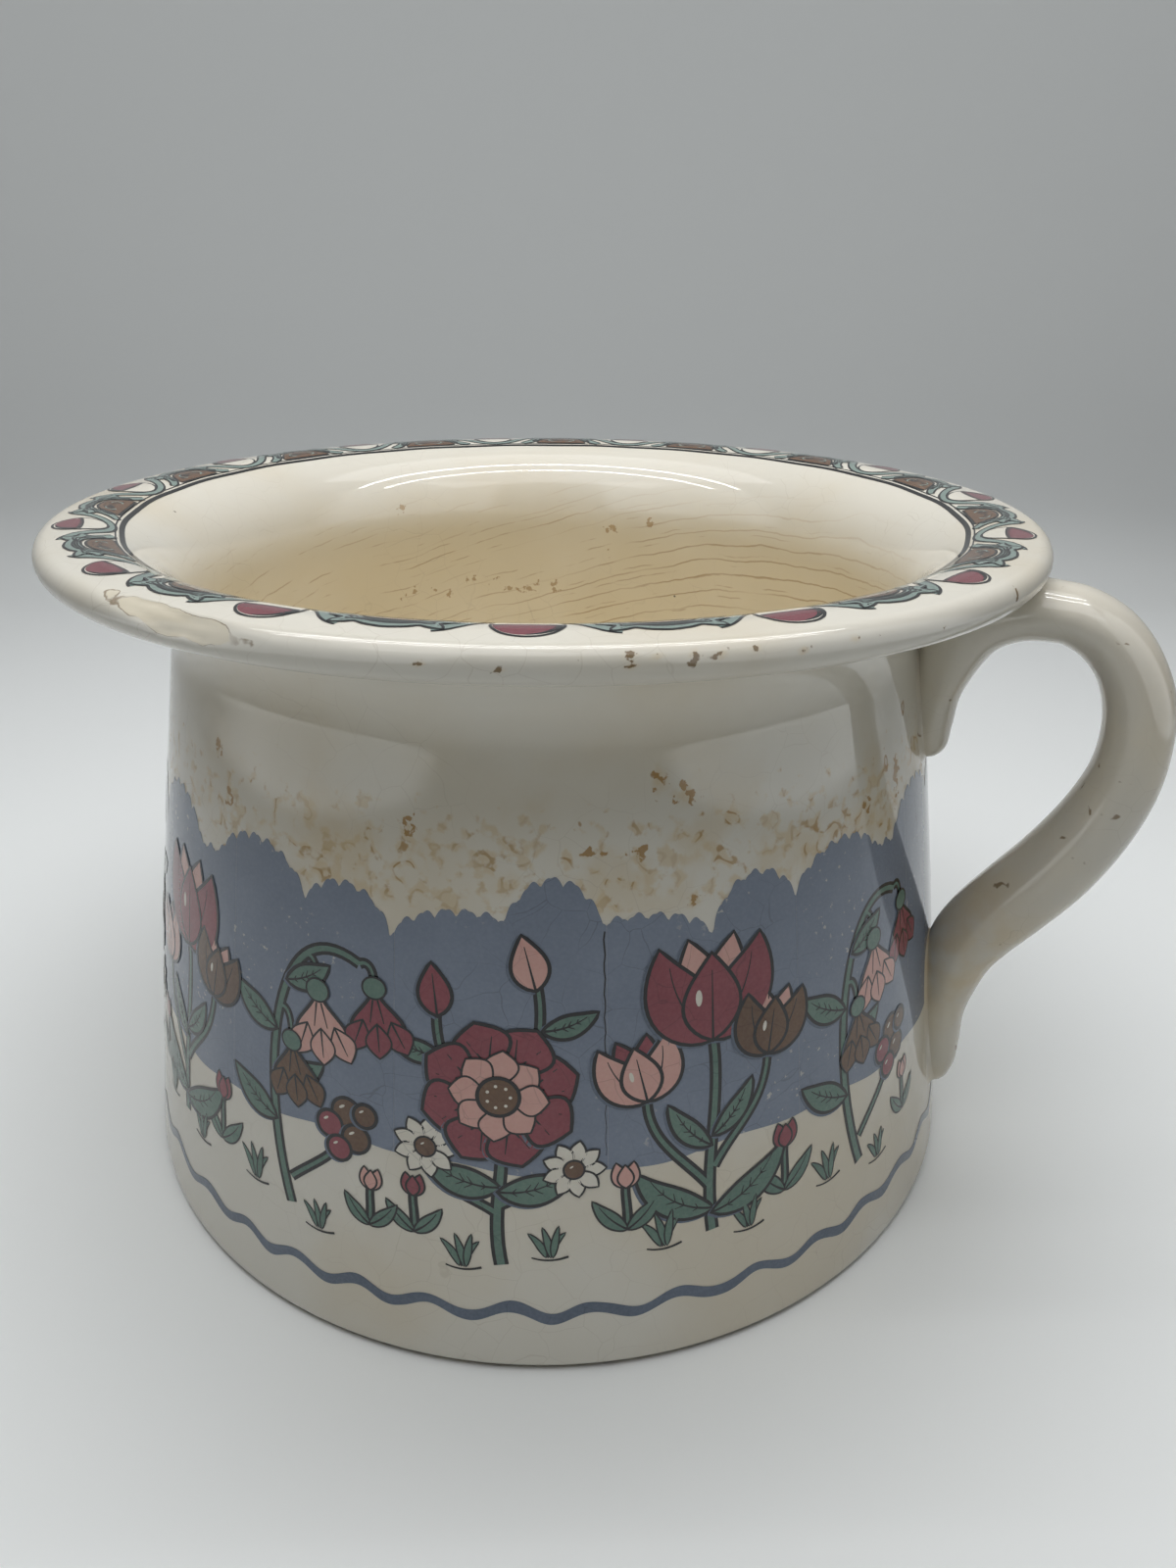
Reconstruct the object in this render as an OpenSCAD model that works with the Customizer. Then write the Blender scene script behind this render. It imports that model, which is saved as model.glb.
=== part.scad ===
// Earthenware chamber pot with a flared rim, one ear-shaped handle and printed bands.
// Millimetres, +Z up, foot on z = 0, axis of the pot on Z, handle on +X.

/* [Pot] */
// Height of the pot to the top of the rim
pot_h = 149; // [138:0.1:160]
// Outside diameter of the foot
base_d = 205.5; // [196:0.5:214]
// Outside diameter at the neck under the rim
neck_d = 166.6; // [160:0.2:174]
// Angle by which the wall leans inward where it meets the neck
wall_lean = 10; // [8:0.5:12]
// Thickness of the wall low down
wall_t = 5.6; // [4.5:0.1:8]
// Thickness of the wall at the neck
neck_t = 5.3; // [4:0.1:8]
// Thickness of the floor
floor_t = 6; // [4:0.5:10]
// Radius of the corner between floor and wall inside
corner_r = 14; // [6:1:22]

/* [Rim] */
// Outside diameter of the rim
rim_d = 211; // [205:0.5:222]
// Thickness of the flared rim
rim_t = 6.5; // [5:0.1:8]
// Fall of the top of the rim toward its outer edge
flange_drop = 0.3; // [0:0.1:1.5]
// Share of the rim's overhang that the hollow under it takes
cove_share = 0.84; // [0.6:0.01:0.95]
// Share of the rim's overhang that the rounded mouth takes
throat_share = 1.05; // [0.8:0.01:1.1]

/* [Foot] */
// Radius of the foot's outer edge
foot_edge_r = 2; // [1:0.25:4]
// Width of the ring that the pot stands on
foot_ring_w = 9; // [5:0.5:15]
// Depth of the hollow under the floor
foot_hollow = 3; // [1.5:0.5:5]

/* [Handle] */
// Width of the strap
strap_w = 18; // [14:0.5:22]
// Thickness of the strap at its outer bend
strap_t = 13; // [10:0.5:15]
// Distance from the neck to the middle of the strap at its widest
handle_reach = 43.2; // [38:0.2:50]
// Length of the upper tail below the rim
upper_tail = 40; // [34:0.5:44]
// Height at which the strap comes back to the wall
lower_root_z = 57; // [50:0.5:64]
// Length of the lower tail on the wall
lower_tail = 37.8; // [28:0.2:42]

/* [Luting] */
// Thickness of the slip that holds the handle
slip_t = 0.6; // [0.4:0.1:1.2]
// Slip squeezed out around the tails
slip_rim = 0.8; // [0.3:0.1:1.5]

/* [Printed bands] */
// Thickness of the printed film
film_t = 0.2; // [0.15:0.05:0.4]
// Gap between the wall and the film on it
film_gap = 0.1; // [0.05:0.05:0.3]
// Strips laid round the wall
strip_count = 15; // [10:1:18]
// Gap between two strips
seam_gap = 0.2; // [0.1:0.1:0.6]
// Lower edge of the strips
frieze_low = 24; // [20:0.5:30]
// Upper edge of the strips
frieze_high = 110; // [95:0.5:116]
// Gap between a strip and the slip under the handle
slip_clear = 0.3; // [0.1:0.1:0.8]
// Share of the rim's flat top that the printed border takes
border_share = 0.93; // [0.5:0.01:0.98]
// Slope of the rounded mouth at the border's inner edge, in degrees
border_slope = 23.5; // [10:0.5:30]
// Height of the middle of the wavy line
wave_z = 13.6; // [10:0.2:15]
// Rise of the wavy line above its middle
wave_rise = 1.2; // [0.5:0.1:2.4]
// Thickness of the wavy line
wave_line = 1.9; // [1:0.1:2.6]
// Waves round the pot
wave_count = 40; // [24:1:48]

/* [Hidden] */
$fn = 96;
rim_r = rim_d / 2;
edge_r = rim_t / 2;
edge_u = rim_r - edge_r;
edge_z = pot_h - flange_drop - edge_r;
under_z = edge_z - edge_r;
neck_r = neck_d / 2;
overhang = edge_u - neck_r;
throat_r = throat_share * overhang;
mouth_r = neck_r - neck_t + throat_r;
border_r = mouth_r + border_share * (edge_u - mouth_r);

// Hollow under the rim: its middle, and where the wall runs into it
cove_r = cove_share * overhang;
cove_u = neck_r + cove_r;
cove_z = under_z - cove_r;
join_u = cove_u - cove_r * cos(wall_lean);
join_z = cove_z - cove_r * sin(wall_lean);
wall_curve = (join_u + tan(wall_lean) * join_z - base_d / 2) / (join_z * join_z);

// The wall bows out a little between the foot and the neck. It is drawn in straight steps, and what
// lies on it takes its radius from the same steps.
wall_steps = 16;
function bow_r(z) = join_u + tan(wall_lean) * (join_z - z) - wall_curve * pow(join_z - z, 2);
step_heights = [for (i = [0 : wall_steps]) foot_edge_r + (join_z - foot_edge_r) * i / wall_steps];
wall_steps_r = [for (z = step_heights) [z, bow_r(z)]];

// Outside radius of the wall at a height
function wall_r(z) = lookup(z, wall_steps_r);

// Points of a round stretch from one angle to another
function arc(u, z, r, from, to, steps) =
    [for (i = [0 : steps]) let (a = from + (to - from) * i / steps) [u + r * cos(a), z + r * sin(a)]];

// Points of the outside of the wall from one height up to another, moved out by a thickness
function wall_points(low, high, out) =
    let (heights = concat([low], [for (z = step_heights) if (z > low && z < high) z], [high]))
        [for (z = heights) [wall_r(z) + out, z]];

// Outline of a layer over the wall between two heights, from a gap off the wall
function wall_layer(low, high, gap, thick) =
    let (outer = wall_points(low, high, gap + thick), last = len(outer) - 1)
        concat(wall_points(low, high, gap), [for (i = [last : -1 : 0]) outer[i]]);

// Inside of the pot: a straight wall that leaves the corner and touches the rounded mouth
floor_z = foot_hollow + floor_t;
gauge_z = 20;
gauge_r = wall_r(gauge_z) - wall_t;
throat_z = pot_h - throat_r;
throat_way = norm([mouth_r - gauge_r, throat_z - gauge_z]);
inside_angle = atan2(throat_z - gauge_z, mouth_r - gauge_r) + asin(throat_r / throat_way);
inside_lean = inside_angle - 90;
corner_z = floor_z + corner_r;
corner_u = gauge_r + tan(inside_lean) * (gauge_z - corner_z) - corner_r / cos(inside_lean);

// The hollow's first point is a step past the join, so that no two points fall together
cove_from = 180 + wall_lean - 6;

foot_u = wall_r(foot_edge_r) - foot_edge_r;
foot_in = foot_u - foot_ring_w;

// Outline of the pot from the middle of the underside, out, up, over the rim and down inside
pot_outline = concat(
    [[0, foot_hollow], [foot_in - foot_hollow, foot_hollow], [foot_in, 0]],
    arc(foot_u, foot_edge_r, foot_edge_r, -90, -8, 6),
    wall_points(foot_edge_r, join_z, 0),
    arc(cove_u, cove_z, cove_r, cove_from, 90, 16),
    arc(edge_u, edge_z, edge_r, -90, 90, 14),
    arc(mouth_r, throat_z, throat_r, 90, 180 + inside_lean, 16),
    arc(corner_u, corner_z, corner_r, inside_lean, -90, 12),
    [[0, floor_z]]
);

// Middle line of the strap. A row has the radius, the height, the half thickness toward the finger
// gap, the half thickness away from it and the half width.
half_t = strap_t / 2;
half_w = strap_w / 2;
top_z = under_z - 0.92 * half_t;
loop_drop = top_z - lower_root_z;
upper_tip_z = under_z - upper_tail;
lower_tip_z = lower_root_z - lower_tail;

function up_tail(f) = upper_tip_z + f * upper_tail;
function low_tail(f) = lower_root_z - f * lower_tail;
function on_wall(z, off, in_f, out_f, w_f) = [wall_r(z) + off, z, in_f * half_t, out_f * half_t, w_f * half_w];
function on_loop(f, g, in_f, out_f, w_f) =
    [neck_r + f * handle_reach, top_z - g * loop_drop, in_f * half_t, out_f * half_t, w_f * half_w];

strap_rows = [
    on_wall(up_tail(0), 0.6, 0.1, 0.3, 0.12),
    on_wall(up_tail(0.03), 0.9, 0.36, 0.5, 0.34),
    on_wall(up_tail(0.09), 1.5, 0.55, 0.6, 0.5),
    on_wall(up_tail(0.2), 2.3, 0.6, 0.65, 0.6),
    on_wall(up_tail(0.42), 5.4, 0.56, 1.05, 0.72),
    on_loop(0.245, 0.075, 0.8, 1.5, 0.92),
    on_loop(0.4, 0.013, 0.88, 1.1, 1),
    on_loop(0.583, 0, 0.9, 0.88, 1),
    on_loop(0.6875, 0.013, 0.9, 0.9, 1),
    on_loop(0.803, 0.05, 0.93, 0.93, 1),
    on_loop(0.907, 0.116, 0.96, 0.96, 1),
    on_loop(0.98, 0.21, 1, 1.04, 1),
    on_loop(1, 0.32, 1, 1.08, 1),
    on_loop(0.972, 0.433, 1.02, 1.18, 1),
    on_loop(0.884, 0.56, 1.06, 1.32, 1.02),
    on_loop(0.757, 0.686, 1.1, 1.44, 1.04),
    on_loop(0.618, 0.8, 1.14, 1.44, 1.06),
    on_loop(0.49, 0.908, 1.16, 1.36, 1.06),
    on_wall(low_tail(0), 6.8, 1.12, 1.22, 1.04),
    on_wall(low_tail(0.24), 4, 0.9, 1, 0.95),
    on_wall(low_tail(0.45), 2.6, 0.7, 0.8, 0.82),
    on_wall(low_tail(0.66), 1.7, 0.6, 0.76, 0.68),
    on_wall(low_tail(0.82), 1.1, 0.5, 0.7, 0.54),
    on_wall(low_tail(0.93), 0.8, 0.4, 0.5, 0.36),
    on_wall(low_tail(0.98), 0.7, 0.3, 0.28, 0.2),
    on_wall(low_tail(1), 0.6, 0.2, 0.1, 0.08)
];

function curve(a, b, c, d, t) =
    0.5 * (2 * b + (c - a) * t + (2 * a - 5 * b + 4 * c - d) * t * t + (3 * b - a - 3 * c + d) * t * t * t);

row_last = len(strap_rows) - 1;
row_steps = 2;
strap_path = [
    for (i = [0 : row_last - 1], k = [0 : row_steps - 1])
        curve(strap_rows[max(i - 1, 0)], strap_rows[i], strap_rows[i + 1],
              strap_rows[min(i + 2, row_last)], k / row_steps),
    strap_rows[row_last]
];
path_last = len(strap_path) - 1;
ring_points = 20;

function strap_way(j) =
    let (
        a = strap_path[max(j - 1, 0)],
        b = strap_path[min(j + 1, path_last)],
        d = [b[0] - a[0], b[1] - a[1]]
    ) d / norm(d);

// A point that would lie in the pot is moved to the face of the slip
function clear_of_pot(p) =
    let (r = norm([p[0], p[1]]), d = [r - cove_u, p[2] - cove_z], reach = cove_r - slip_t)
        p[2] < join_z ? (r < wall_r(p[2]) + slip_t ? at_radius(p, wall_r(p[2]) + slip_t, p[2]) : p)
        : r > cove_u ? [p[0], p[1], min(p[2], under_z - slip_t)]
        : norm(d) > reach ? at_radius(p, cove_u + d[0] * reach / norm(d), cove_z + d[1] * reach / norm(d))
        : p;
function at_radius(p, r, z) = let (s = r / norm([p[0], p[1]])) [p[0] * s, p[1] * s, z];

function strap_point(j, k) =
    let (
        row = strap_path[j],
        way = strap_way(j),
        a = 360 * k / ring_points,
        off = cos(a) * (cos(a) > 0 ? row[2] : row[3])
    ) clear_of_pot([row[0] + way[1] * off, row[4] * sin(a), row[1] - way[0] * off]);

handle_points = concat(
    [for (j = [0 : path_last], k = [0 : ring_points - 1]) strap_point(j, k)],
    [clear_of_pot([strap_path[0][0], 0, strap_path[0][1]])],
    [clear_of_pot([strap_path[path_last][0], 0, strap_path[path_last][1]])]
);
first_cap = (path_last + 1) * ring_points;
function ring_at(j, k) = j * ring_points + (k % ring_points);
handle_faces = concat(
    [for (j = [0 : path_last - 1], k = [0 : ring_points - 1]) [ring_at(j, k), ring_at(j, k + 1), ring_at(j + 1, k + 1)]],
    [for (j = [0 : path_last - 1], k = [0 : ring_points - 1]) [ring_at(j, k), ring_at(j + 1, k + 1), ring_at(j + 1, k)]],
    [for (k = [0 : ring_points - 1]) [first_cap, ring_at(0, k + 1), ring_at(0, k)]],
    [for (k = [0 : ring_points - 1]) [first_cap + 1, ring_at(path_last, k), ring_at(path_last, k + 1)]]
);

// Outlines of the slip seen from the handle's side, y across and z up
crotch_z = lower_root_z + 1.35 * half_t;
upper_tip_r = 0.6 * half_w + slip_rim;
lower_tip_r = 0.5 * half_w + slip_rim;
slip_half_w = 1.06 * half_w + slip_rim;
upper_slip_outline = concat(
    arc(0, upper_tip_z - slip_rim + upper_tip_r, upper_tip_r, 180, 360, 12),
    [[slip_half_w, cove_z], [slip_half_w, under_z + rim_t], [-slip_half_w, under_z + rim_t], [-slip_half_w, cove_z]]
);
lower_slip_outline = concat(
    arc(0, lower_tip_z - slip_rim + lower_tip_r, lower_tip_r, 180, 360, 12),
    [[slip_half_w, lower_root_z], [slip_half_w, crotch_z], [-slip_half_w, crotch_z], [-slip_half_w, lower_root_z]]
);

// Body of a slip outline that runs out along +X from inside the wall
module slip_block(outline, grow) {
    length = rim_r - neck_r + base_d / 2;
    middle = (outline[0][1] + outline[len(outline) - 2][1]) / 2;
    stretch = 1 + grow / slip_half_w;
    translate([0, 0, middle])
        rotate([90, 0, 90])
            scale(stretch)
                translate([0, -middle, 0])
                    linear_extrude(length)
                        polygon(outline);
}

// An outline turned about the axis through a span, with its middle at an angle from the handle
module sector(span, middle) {
    rotate([0, 0, middle - span / 2])
        rotate_extrude(angle = span)
            children();
}

slip_span = 16;

cream = [0.9, 0.87, 0.78];
slip_cream = [0.84, 0.8, 0.69];
slate_blue = [0.45, 0.52, 0.63];
leaf_green = [0.42, 0.5, 0.45];

// The parts

module pot_body() {
    color(cream)
        rotate_extrude()
            polygon(pot_outline);
}

module handle() {
    color(cream)
        polyhedron(handle_points, handle_faces, convexity = 6);
}

module upper_luting() {
    outer = wall_points(upper_tip_z - 2 * slip_rim, join_z, slip_t);
    last = len(outer) - 1;
    shell = concat(
        wall_points(upper_tip_z - 2 * slip_rim, join_z, 0),
        arc(cove_u, cove_z, cove_r, cove_from, 90, 16),
        [[edge_u, under_z], [edge_u, under_z - slip_t]],
        arc(cove_u, cove_z, cove_r - slip_t, 90, cove_from, 16),
        [for (i = [last : -1 : 0]) outer[i]]
    );
    color(slip_cream)
        intersection() {
            sector(slip_span, 0)
                polygon(shell);
            slip_block(upper_slip_outline, 0);
        }
}

module lower_luting() {
    color(slip_cream)
        intersection() {
            sector(slip_span, 0)
                polygon(wall_layer(lower_tip_z - 2 * slip_rim, crotch_z + slip_rim, 0, slip_t));
            slip_block(lower_slip_outline, 0);
        }
}

module frieze_strip(i) {
    pitch = 360 / strip_count;
    span = pitch - seam_gap / base_d * 360 / PI;
    color(slate_blue)
        if (i == 1) {
            difference() {
                sector(span, 0)
                    polygon(wall_layer(frieze_low, frieze_high, film_gap, film_t));
                slip_block(upper_slip_outline, slip_clear);
                slip_block(lower_slip_outline, slip_clear);
            }
        } else {
            sector(span, (i - 1) * pitch)
                polygon(wall_layer(frieze_low, frieze_high, film_gap, film_t));
        }
}

// Points on the top of the rim from the border's inner edge to its outer edge, moved up by a thickness
function border_points(out) = concat(
    arc(mouth_r, throat_z, throat_r + out, 90 + border_slope, 90, 8),
    [[border_r, pot_h - border_share * flange_drop + out]]
);

module rim_border() {
    lower = border_points(film_gap);
    upper = border_points(film_gap + film_t);
    last = len(upper) - 1;
    color(leaf_green)
        rotate_extrude()
            polygon(concat(lower, [for (i = [last : -1 : 0]) upper[i]]));
}

module foot_wave() {
    steps = 8 * wave_count;
    points = [
        for (k = [0 : steps - 1])
            let (
                a = 360 * k / steps,
                low = wave_z + wave_rise * sin(a * wave_count) - wave_line / 2,
                high = low + wave_line
            )
                for (p = [[0, low], [film_t, low], [film_t, high], [0, high]])
                    let (r = wall_r(p[1]) + film_gap + p[0]) [r * cos(a), r * sin(a), p[1]]
    ];
    faces = [
        for (k = [0 : steps - 1], side = [0 : 3], half = [0, 1])
            let (
                here = 4 * k,
                next = 4 * ((k + 1) % steps),
                other = (side + 1) % 4
            )
                half == 0 ? [here + side, here + other, next + other] : [here + side, next + other, next + side]
    ];
    color(slate_blue)
        polyhedron(points, faces, convexity = 6);
}

pot_body();
handle();
upper_luting();
lower_luting();
rim_border();
foot_wave();
for (i = [1 : strip_count]) {
    frieze_strip(i);
}
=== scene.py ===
from math import asin, atan, atan2, ceil, cos, degrees, dist, floor, hypot, pi, radians, sin, sqrt, tan, tau

import bpy
from mathutils import Matrix, Vector, noise


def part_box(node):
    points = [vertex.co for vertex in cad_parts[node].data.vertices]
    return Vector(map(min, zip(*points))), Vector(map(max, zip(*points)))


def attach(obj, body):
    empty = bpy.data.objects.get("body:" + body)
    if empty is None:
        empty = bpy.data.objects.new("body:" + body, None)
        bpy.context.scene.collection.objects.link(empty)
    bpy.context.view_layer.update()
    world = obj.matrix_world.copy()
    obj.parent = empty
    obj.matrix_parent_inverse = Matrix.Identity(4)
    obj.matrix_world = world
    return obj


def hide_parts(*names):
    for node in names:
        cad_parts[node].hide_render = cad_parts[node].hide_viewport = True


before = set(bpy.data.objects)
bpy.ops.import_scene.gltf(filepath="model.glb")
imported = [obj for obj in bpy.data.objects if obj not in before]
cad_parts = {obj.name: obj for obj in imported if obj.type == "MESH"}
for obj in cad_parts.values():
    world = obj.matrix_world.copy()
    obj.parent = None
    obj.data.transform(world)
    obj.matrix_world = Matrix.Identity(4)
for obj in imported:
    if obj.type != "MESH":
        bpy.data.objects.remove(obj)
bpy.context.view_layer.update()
MM = 0.001

# Sizes of the pot in millimetres, with the rim and the height taken from the frame
POT_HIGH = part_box("pot_body")[1]
POT_H = POT_HIGH.z / MM
RIM_R = POT_HIGH.x / MM
BASE_R = 102.75
NECK_R = 83.3
WALL_LEAN = radians(10)
WALL_T = 5.6
NECK_T = 5.3
FLOOR_T = 6.0
CORNER_R = 14.0
RIM_T = 6.5
FLANGE_DROP = 0.3
COVE_SHARE = 0.84
THROAT_SHARE = 1.05
FOOT_EDGE_R = 2.0
FOOT_RING_W = 9.0
FOOT_HOLLOW = 3.0
FOOT_BEVEL_W = 0.8
FOOT_BEVEL_H = 0.5

# The glaze ends above the bare ring, which stands back from it by this much below and above
RECESS_LOW = 0.9
RECESS_HIGH = 0.7
RECESS_H = 1.6

# Height at which the wall's thickness is measured
GAUGE_Z = 20.0

# The rim, the hollow under it and the mouth
EDGE_R = RIM_T / 2
EDGE_U = RIM_R - EDGE_R
EDGE_Z = POT_H - FLANGE_DROP - EDGE_R
UNDER_Z = EDGE_Z - EDGE_R
OVERHANG = EDGE_U - NECK_R
COVE_R = COVE_SHARE * OVERHANG
COVE_U = NECK_R + COVE_R
COVE_Z = UNDER_Z - COVE_R
THROAT_R = THROAT_SHARE * OVERHANG
MOUTH_R = NECK_R - NECK_T + THROAT_R
THROAT_Z = POT_H - THROAT_R
JOIN_U = COVE_U - COVE_R * cos(WALL_LEAN)
JOIN_Z = COVE_Z - COVE_R * sin(WALL_LEAN)
WALL_CURVE = (JOIN_U + tan(WALL_LEAN) * JOIN_Z - BASE_R) / JOIN_Z ** 2

# Heights of the bands on the wall, and the counts round the pot
STRIPS = 15
STRIP_ANGLE = tau / STRIPS
BAND_LOW = 46.0
BAND_HIGH = 92.0
GROUND_Z = 30.0
WAVE_Z = 13.6
WAVE_RISE = 1.2
WAVE_LINE = 2.4
WAVES = 40
BORDER_REPEATS = 15
BORDER_IN = 90.0
BORDER_MIDDLE = 96.0
BORDER_SHIFT = 1.9
BORDER_SHIFT_ANGLE = radians(114)
BORDER_PHASE = radians(4)
SEAM_ANGLE = 0.0003
SECTION_STRIPS = 5
SECTION_LAST = 2

# A printed layer stands PRINT_LIFT off the wall, and each layer over it LAYER_LIFT more. A cell is the
# length of a print's faces, and the lines are the widths of the ink
PRINT_LIFT = 0.05
LAYER_LIFT = 0.008
FRINGE = 0.5
FRINGE_DOWN = 0.3
WALL_CELL = 1.6
RIM_CELL = 0.9
INK_LINE = 0.7
BORDER_INK = 0.5
FINE_LINE = 0.4
GRASS_LINE = 0.3
VEIN_SHARE = 0.82
BAND_COLUMNS = 120
BAND_ROWS = 30
WAVE_STEPS = 24
RIM_STEPS = 480
DOME_STEPS = 24
BORDER_STEPS = 3


def wall_r(z):
    """Outside radius of the wall at a height."""
    up = JOIN_Z - z
    return JOIN_U + tan(WALL_LEAN) * up - WALL_CURVE * up * up


def wall_tilt(z):
    """Angle by which the wall's normal points above the horizon."""
    slope = tan(WALL_LEAN) - 2 * WALL_CURVE * (JOIN_Z - z)
    return atan(slope)


def smooth(low, high, x):
    """0 below low, 1 above high, and a smooth step between."""
    t = min(max((x - low) / (high - low), 0.0), 1.0)
    return t * t * (3 - 2 * t)


def arc(u, z, r, start, end, steps):
    """Points of a round stretch, angles in degrees."""
    points = []
    for i in range(steps + 1):
        a = radians(start + (end - start) * i / steps)
        points.append((u + r * cos(a), z + r * sin(a)))
    return points


def straight(start, end, steps):
    """Points of a straight stretch, with both its ends."""
    return [tuple(a + (b - a) * i / steps for a, b in zip(start, end)) for i in range(steps + 1)]


def ring_faces(rows):
    """Faces between closed rows of points, given by their numbers. A row at one point gives triangles."""
    faces = []
    for low, high in zip(rows, rows[1:]):
        for k in range(len(low)):
            n = (k + 1) % len(low)
            faces.append(tuple(dict.fromkeys((low[k], low[n], high[n], high[k]))))
    return faces


def sheet_faces(lines, wide):
    """Faces between open lines of points that follow each other."""
    corners = [i * wide + k for i in range(lines - 1) for k in range(wide - 1)]
    return [(c, c + wide, c + wide + 1, c + 1) for c in corners]


def smooth_mesh(name, vertices, faces, materials):
    mesh = bpy.data.meshes.new(name)
    mesh.from_pydata(vertices, [], faces)
    mesh.polygons.foreach_set("use_smooth", [True] * len(faces))
    for material in materials:
        mesh.materials.append(material)
    return mesh


def add_object(name, data):
    """A new object in the scene."""
    thing = bpy.data.objects.new(name, data)
    bpy.context.scene.collection.objects.link(thing)
    return thing


def new_piece(name, vertices, faces, node, materials, face_slots=None):
    """A smooth mesh piece on the pot that stands for a CAD node. Vertices are in millimetres."""
    mesh = smooth_mesh(name, [Vector(v) * MM for v in vertices], faces, materials)
    if face_slots:
        mesh.polygons.foreach_set("material_index", face_slots)
    mesh.update()
    piece = add_object(name, mesh)
    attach(piece, "root")
    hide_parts(node)
    return piece


# Materials

def linear(red, green, blue):
    """A colour given as it looks on a screen, 0 to 255, as the shader takes it."""
    values = []
    for c in (red, green, blue):
        c = c / 255
        values.append(c / 12.92 if c <= 0.04045 else ((c + 0.055) / 1.055) ** 2.4)
    return (*values, 1.0)


CREAM = linear(226, 222, 210)
AGED_CREAM = linear(220, 211, 191)
# The handle's and the slip's cream, darker than the body's: painted shade
HANDLE_SHADE_CREAM = linear(213, 208, 195)
WORN_CREAM = linear(221, 213, 193)
OCHRE = linear(208, 180, 122)
# The inside's tan, paler than the cream: partly the glaze's own warmer tone, partly painted light standing in
# for light bouncing inside the pot
TAN_AND_BOUNCE_LIGHT = linear(246, 238, 219)
DEEP_TAN_AND_BOUNCE_LIGHT = linear(238, 227, 201)
# The bare clay, darkened partly as dirt and partly as painted shade in the recess under the foot
CLAY_DIRT_AND_SHADE = linear(170, 158, 134)
DARK_CLAY = linear(112, 92, 68)
STAIN = linear(112, 84, 36)
OLD_STAIN = linear(166, 124, 54)
CRAZE = linear(150, 134, 108)
SPECK = linear(62, 48, 36)
PAPER = linear(243, 246, 246)
# The far paper is greyer as painted shade on the backdrop. The next three are darker paper that only light
# bouncing onto the pot sees, painting shade under the rim, in front and at the sides
FAR_PAPER_SHADE = linear(196, 199, 199)
UNDER_BOUNCE_SHADE = linear(214, 216, 216)
FRONT_BOUNCE_SHADE = linear(215, 218, 218)
SIDE_BOUNCE_SHADE = linear(70, 71, 71)

# Printed colours: the colour, a paler one that mottles it, the share of that, and the share of missing flecks
PRINT_COLOURS = {
    "slate": ((118, 129, 147), (139, 150, 168), 0.3, 0.5),
    "ink": ((20, 19, 23), (40, 39, 42), 0.3, 0.0),
    "red": ((134, 60, 71), (160, 86, 94), 0.3, 0.0),
    "rose": ((117, 57, 67), (140, 80, 88), 0.3, 0.0),
    "pink": ((212, 162, 152), (222, 180, 168), 0.3, 0.0),
    "brown": ((98, 70, 50), (130, 100, 74), 0.3, 0.0),
    "green": ((88, 118, 106), (118, 146, 132), 0.3, 0.0),
    "sage": ((126, 143, 137), (146, 164, 156), 0.3, 0.0),
    "white": ((228, 224, 212), (220, 212, 194), 0.3, 0.0),
    "blue": ((90, 102, 119), (116, 128, 146), 0.35, 0.0),
}
INK = linear(*PRINT_COLOURS["ink"][0])
GLAZE_IOR = 1.5
GLAZE_RIPPLE = 0.05
CLAY_GRAIN = 0.15
CLAY_ROUGHNESS = 0.85
LINES_ANGLE = radians(20)
LINES_RISE = 0.27
LINES_MOST_ANGLE = radians(45)


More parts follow.
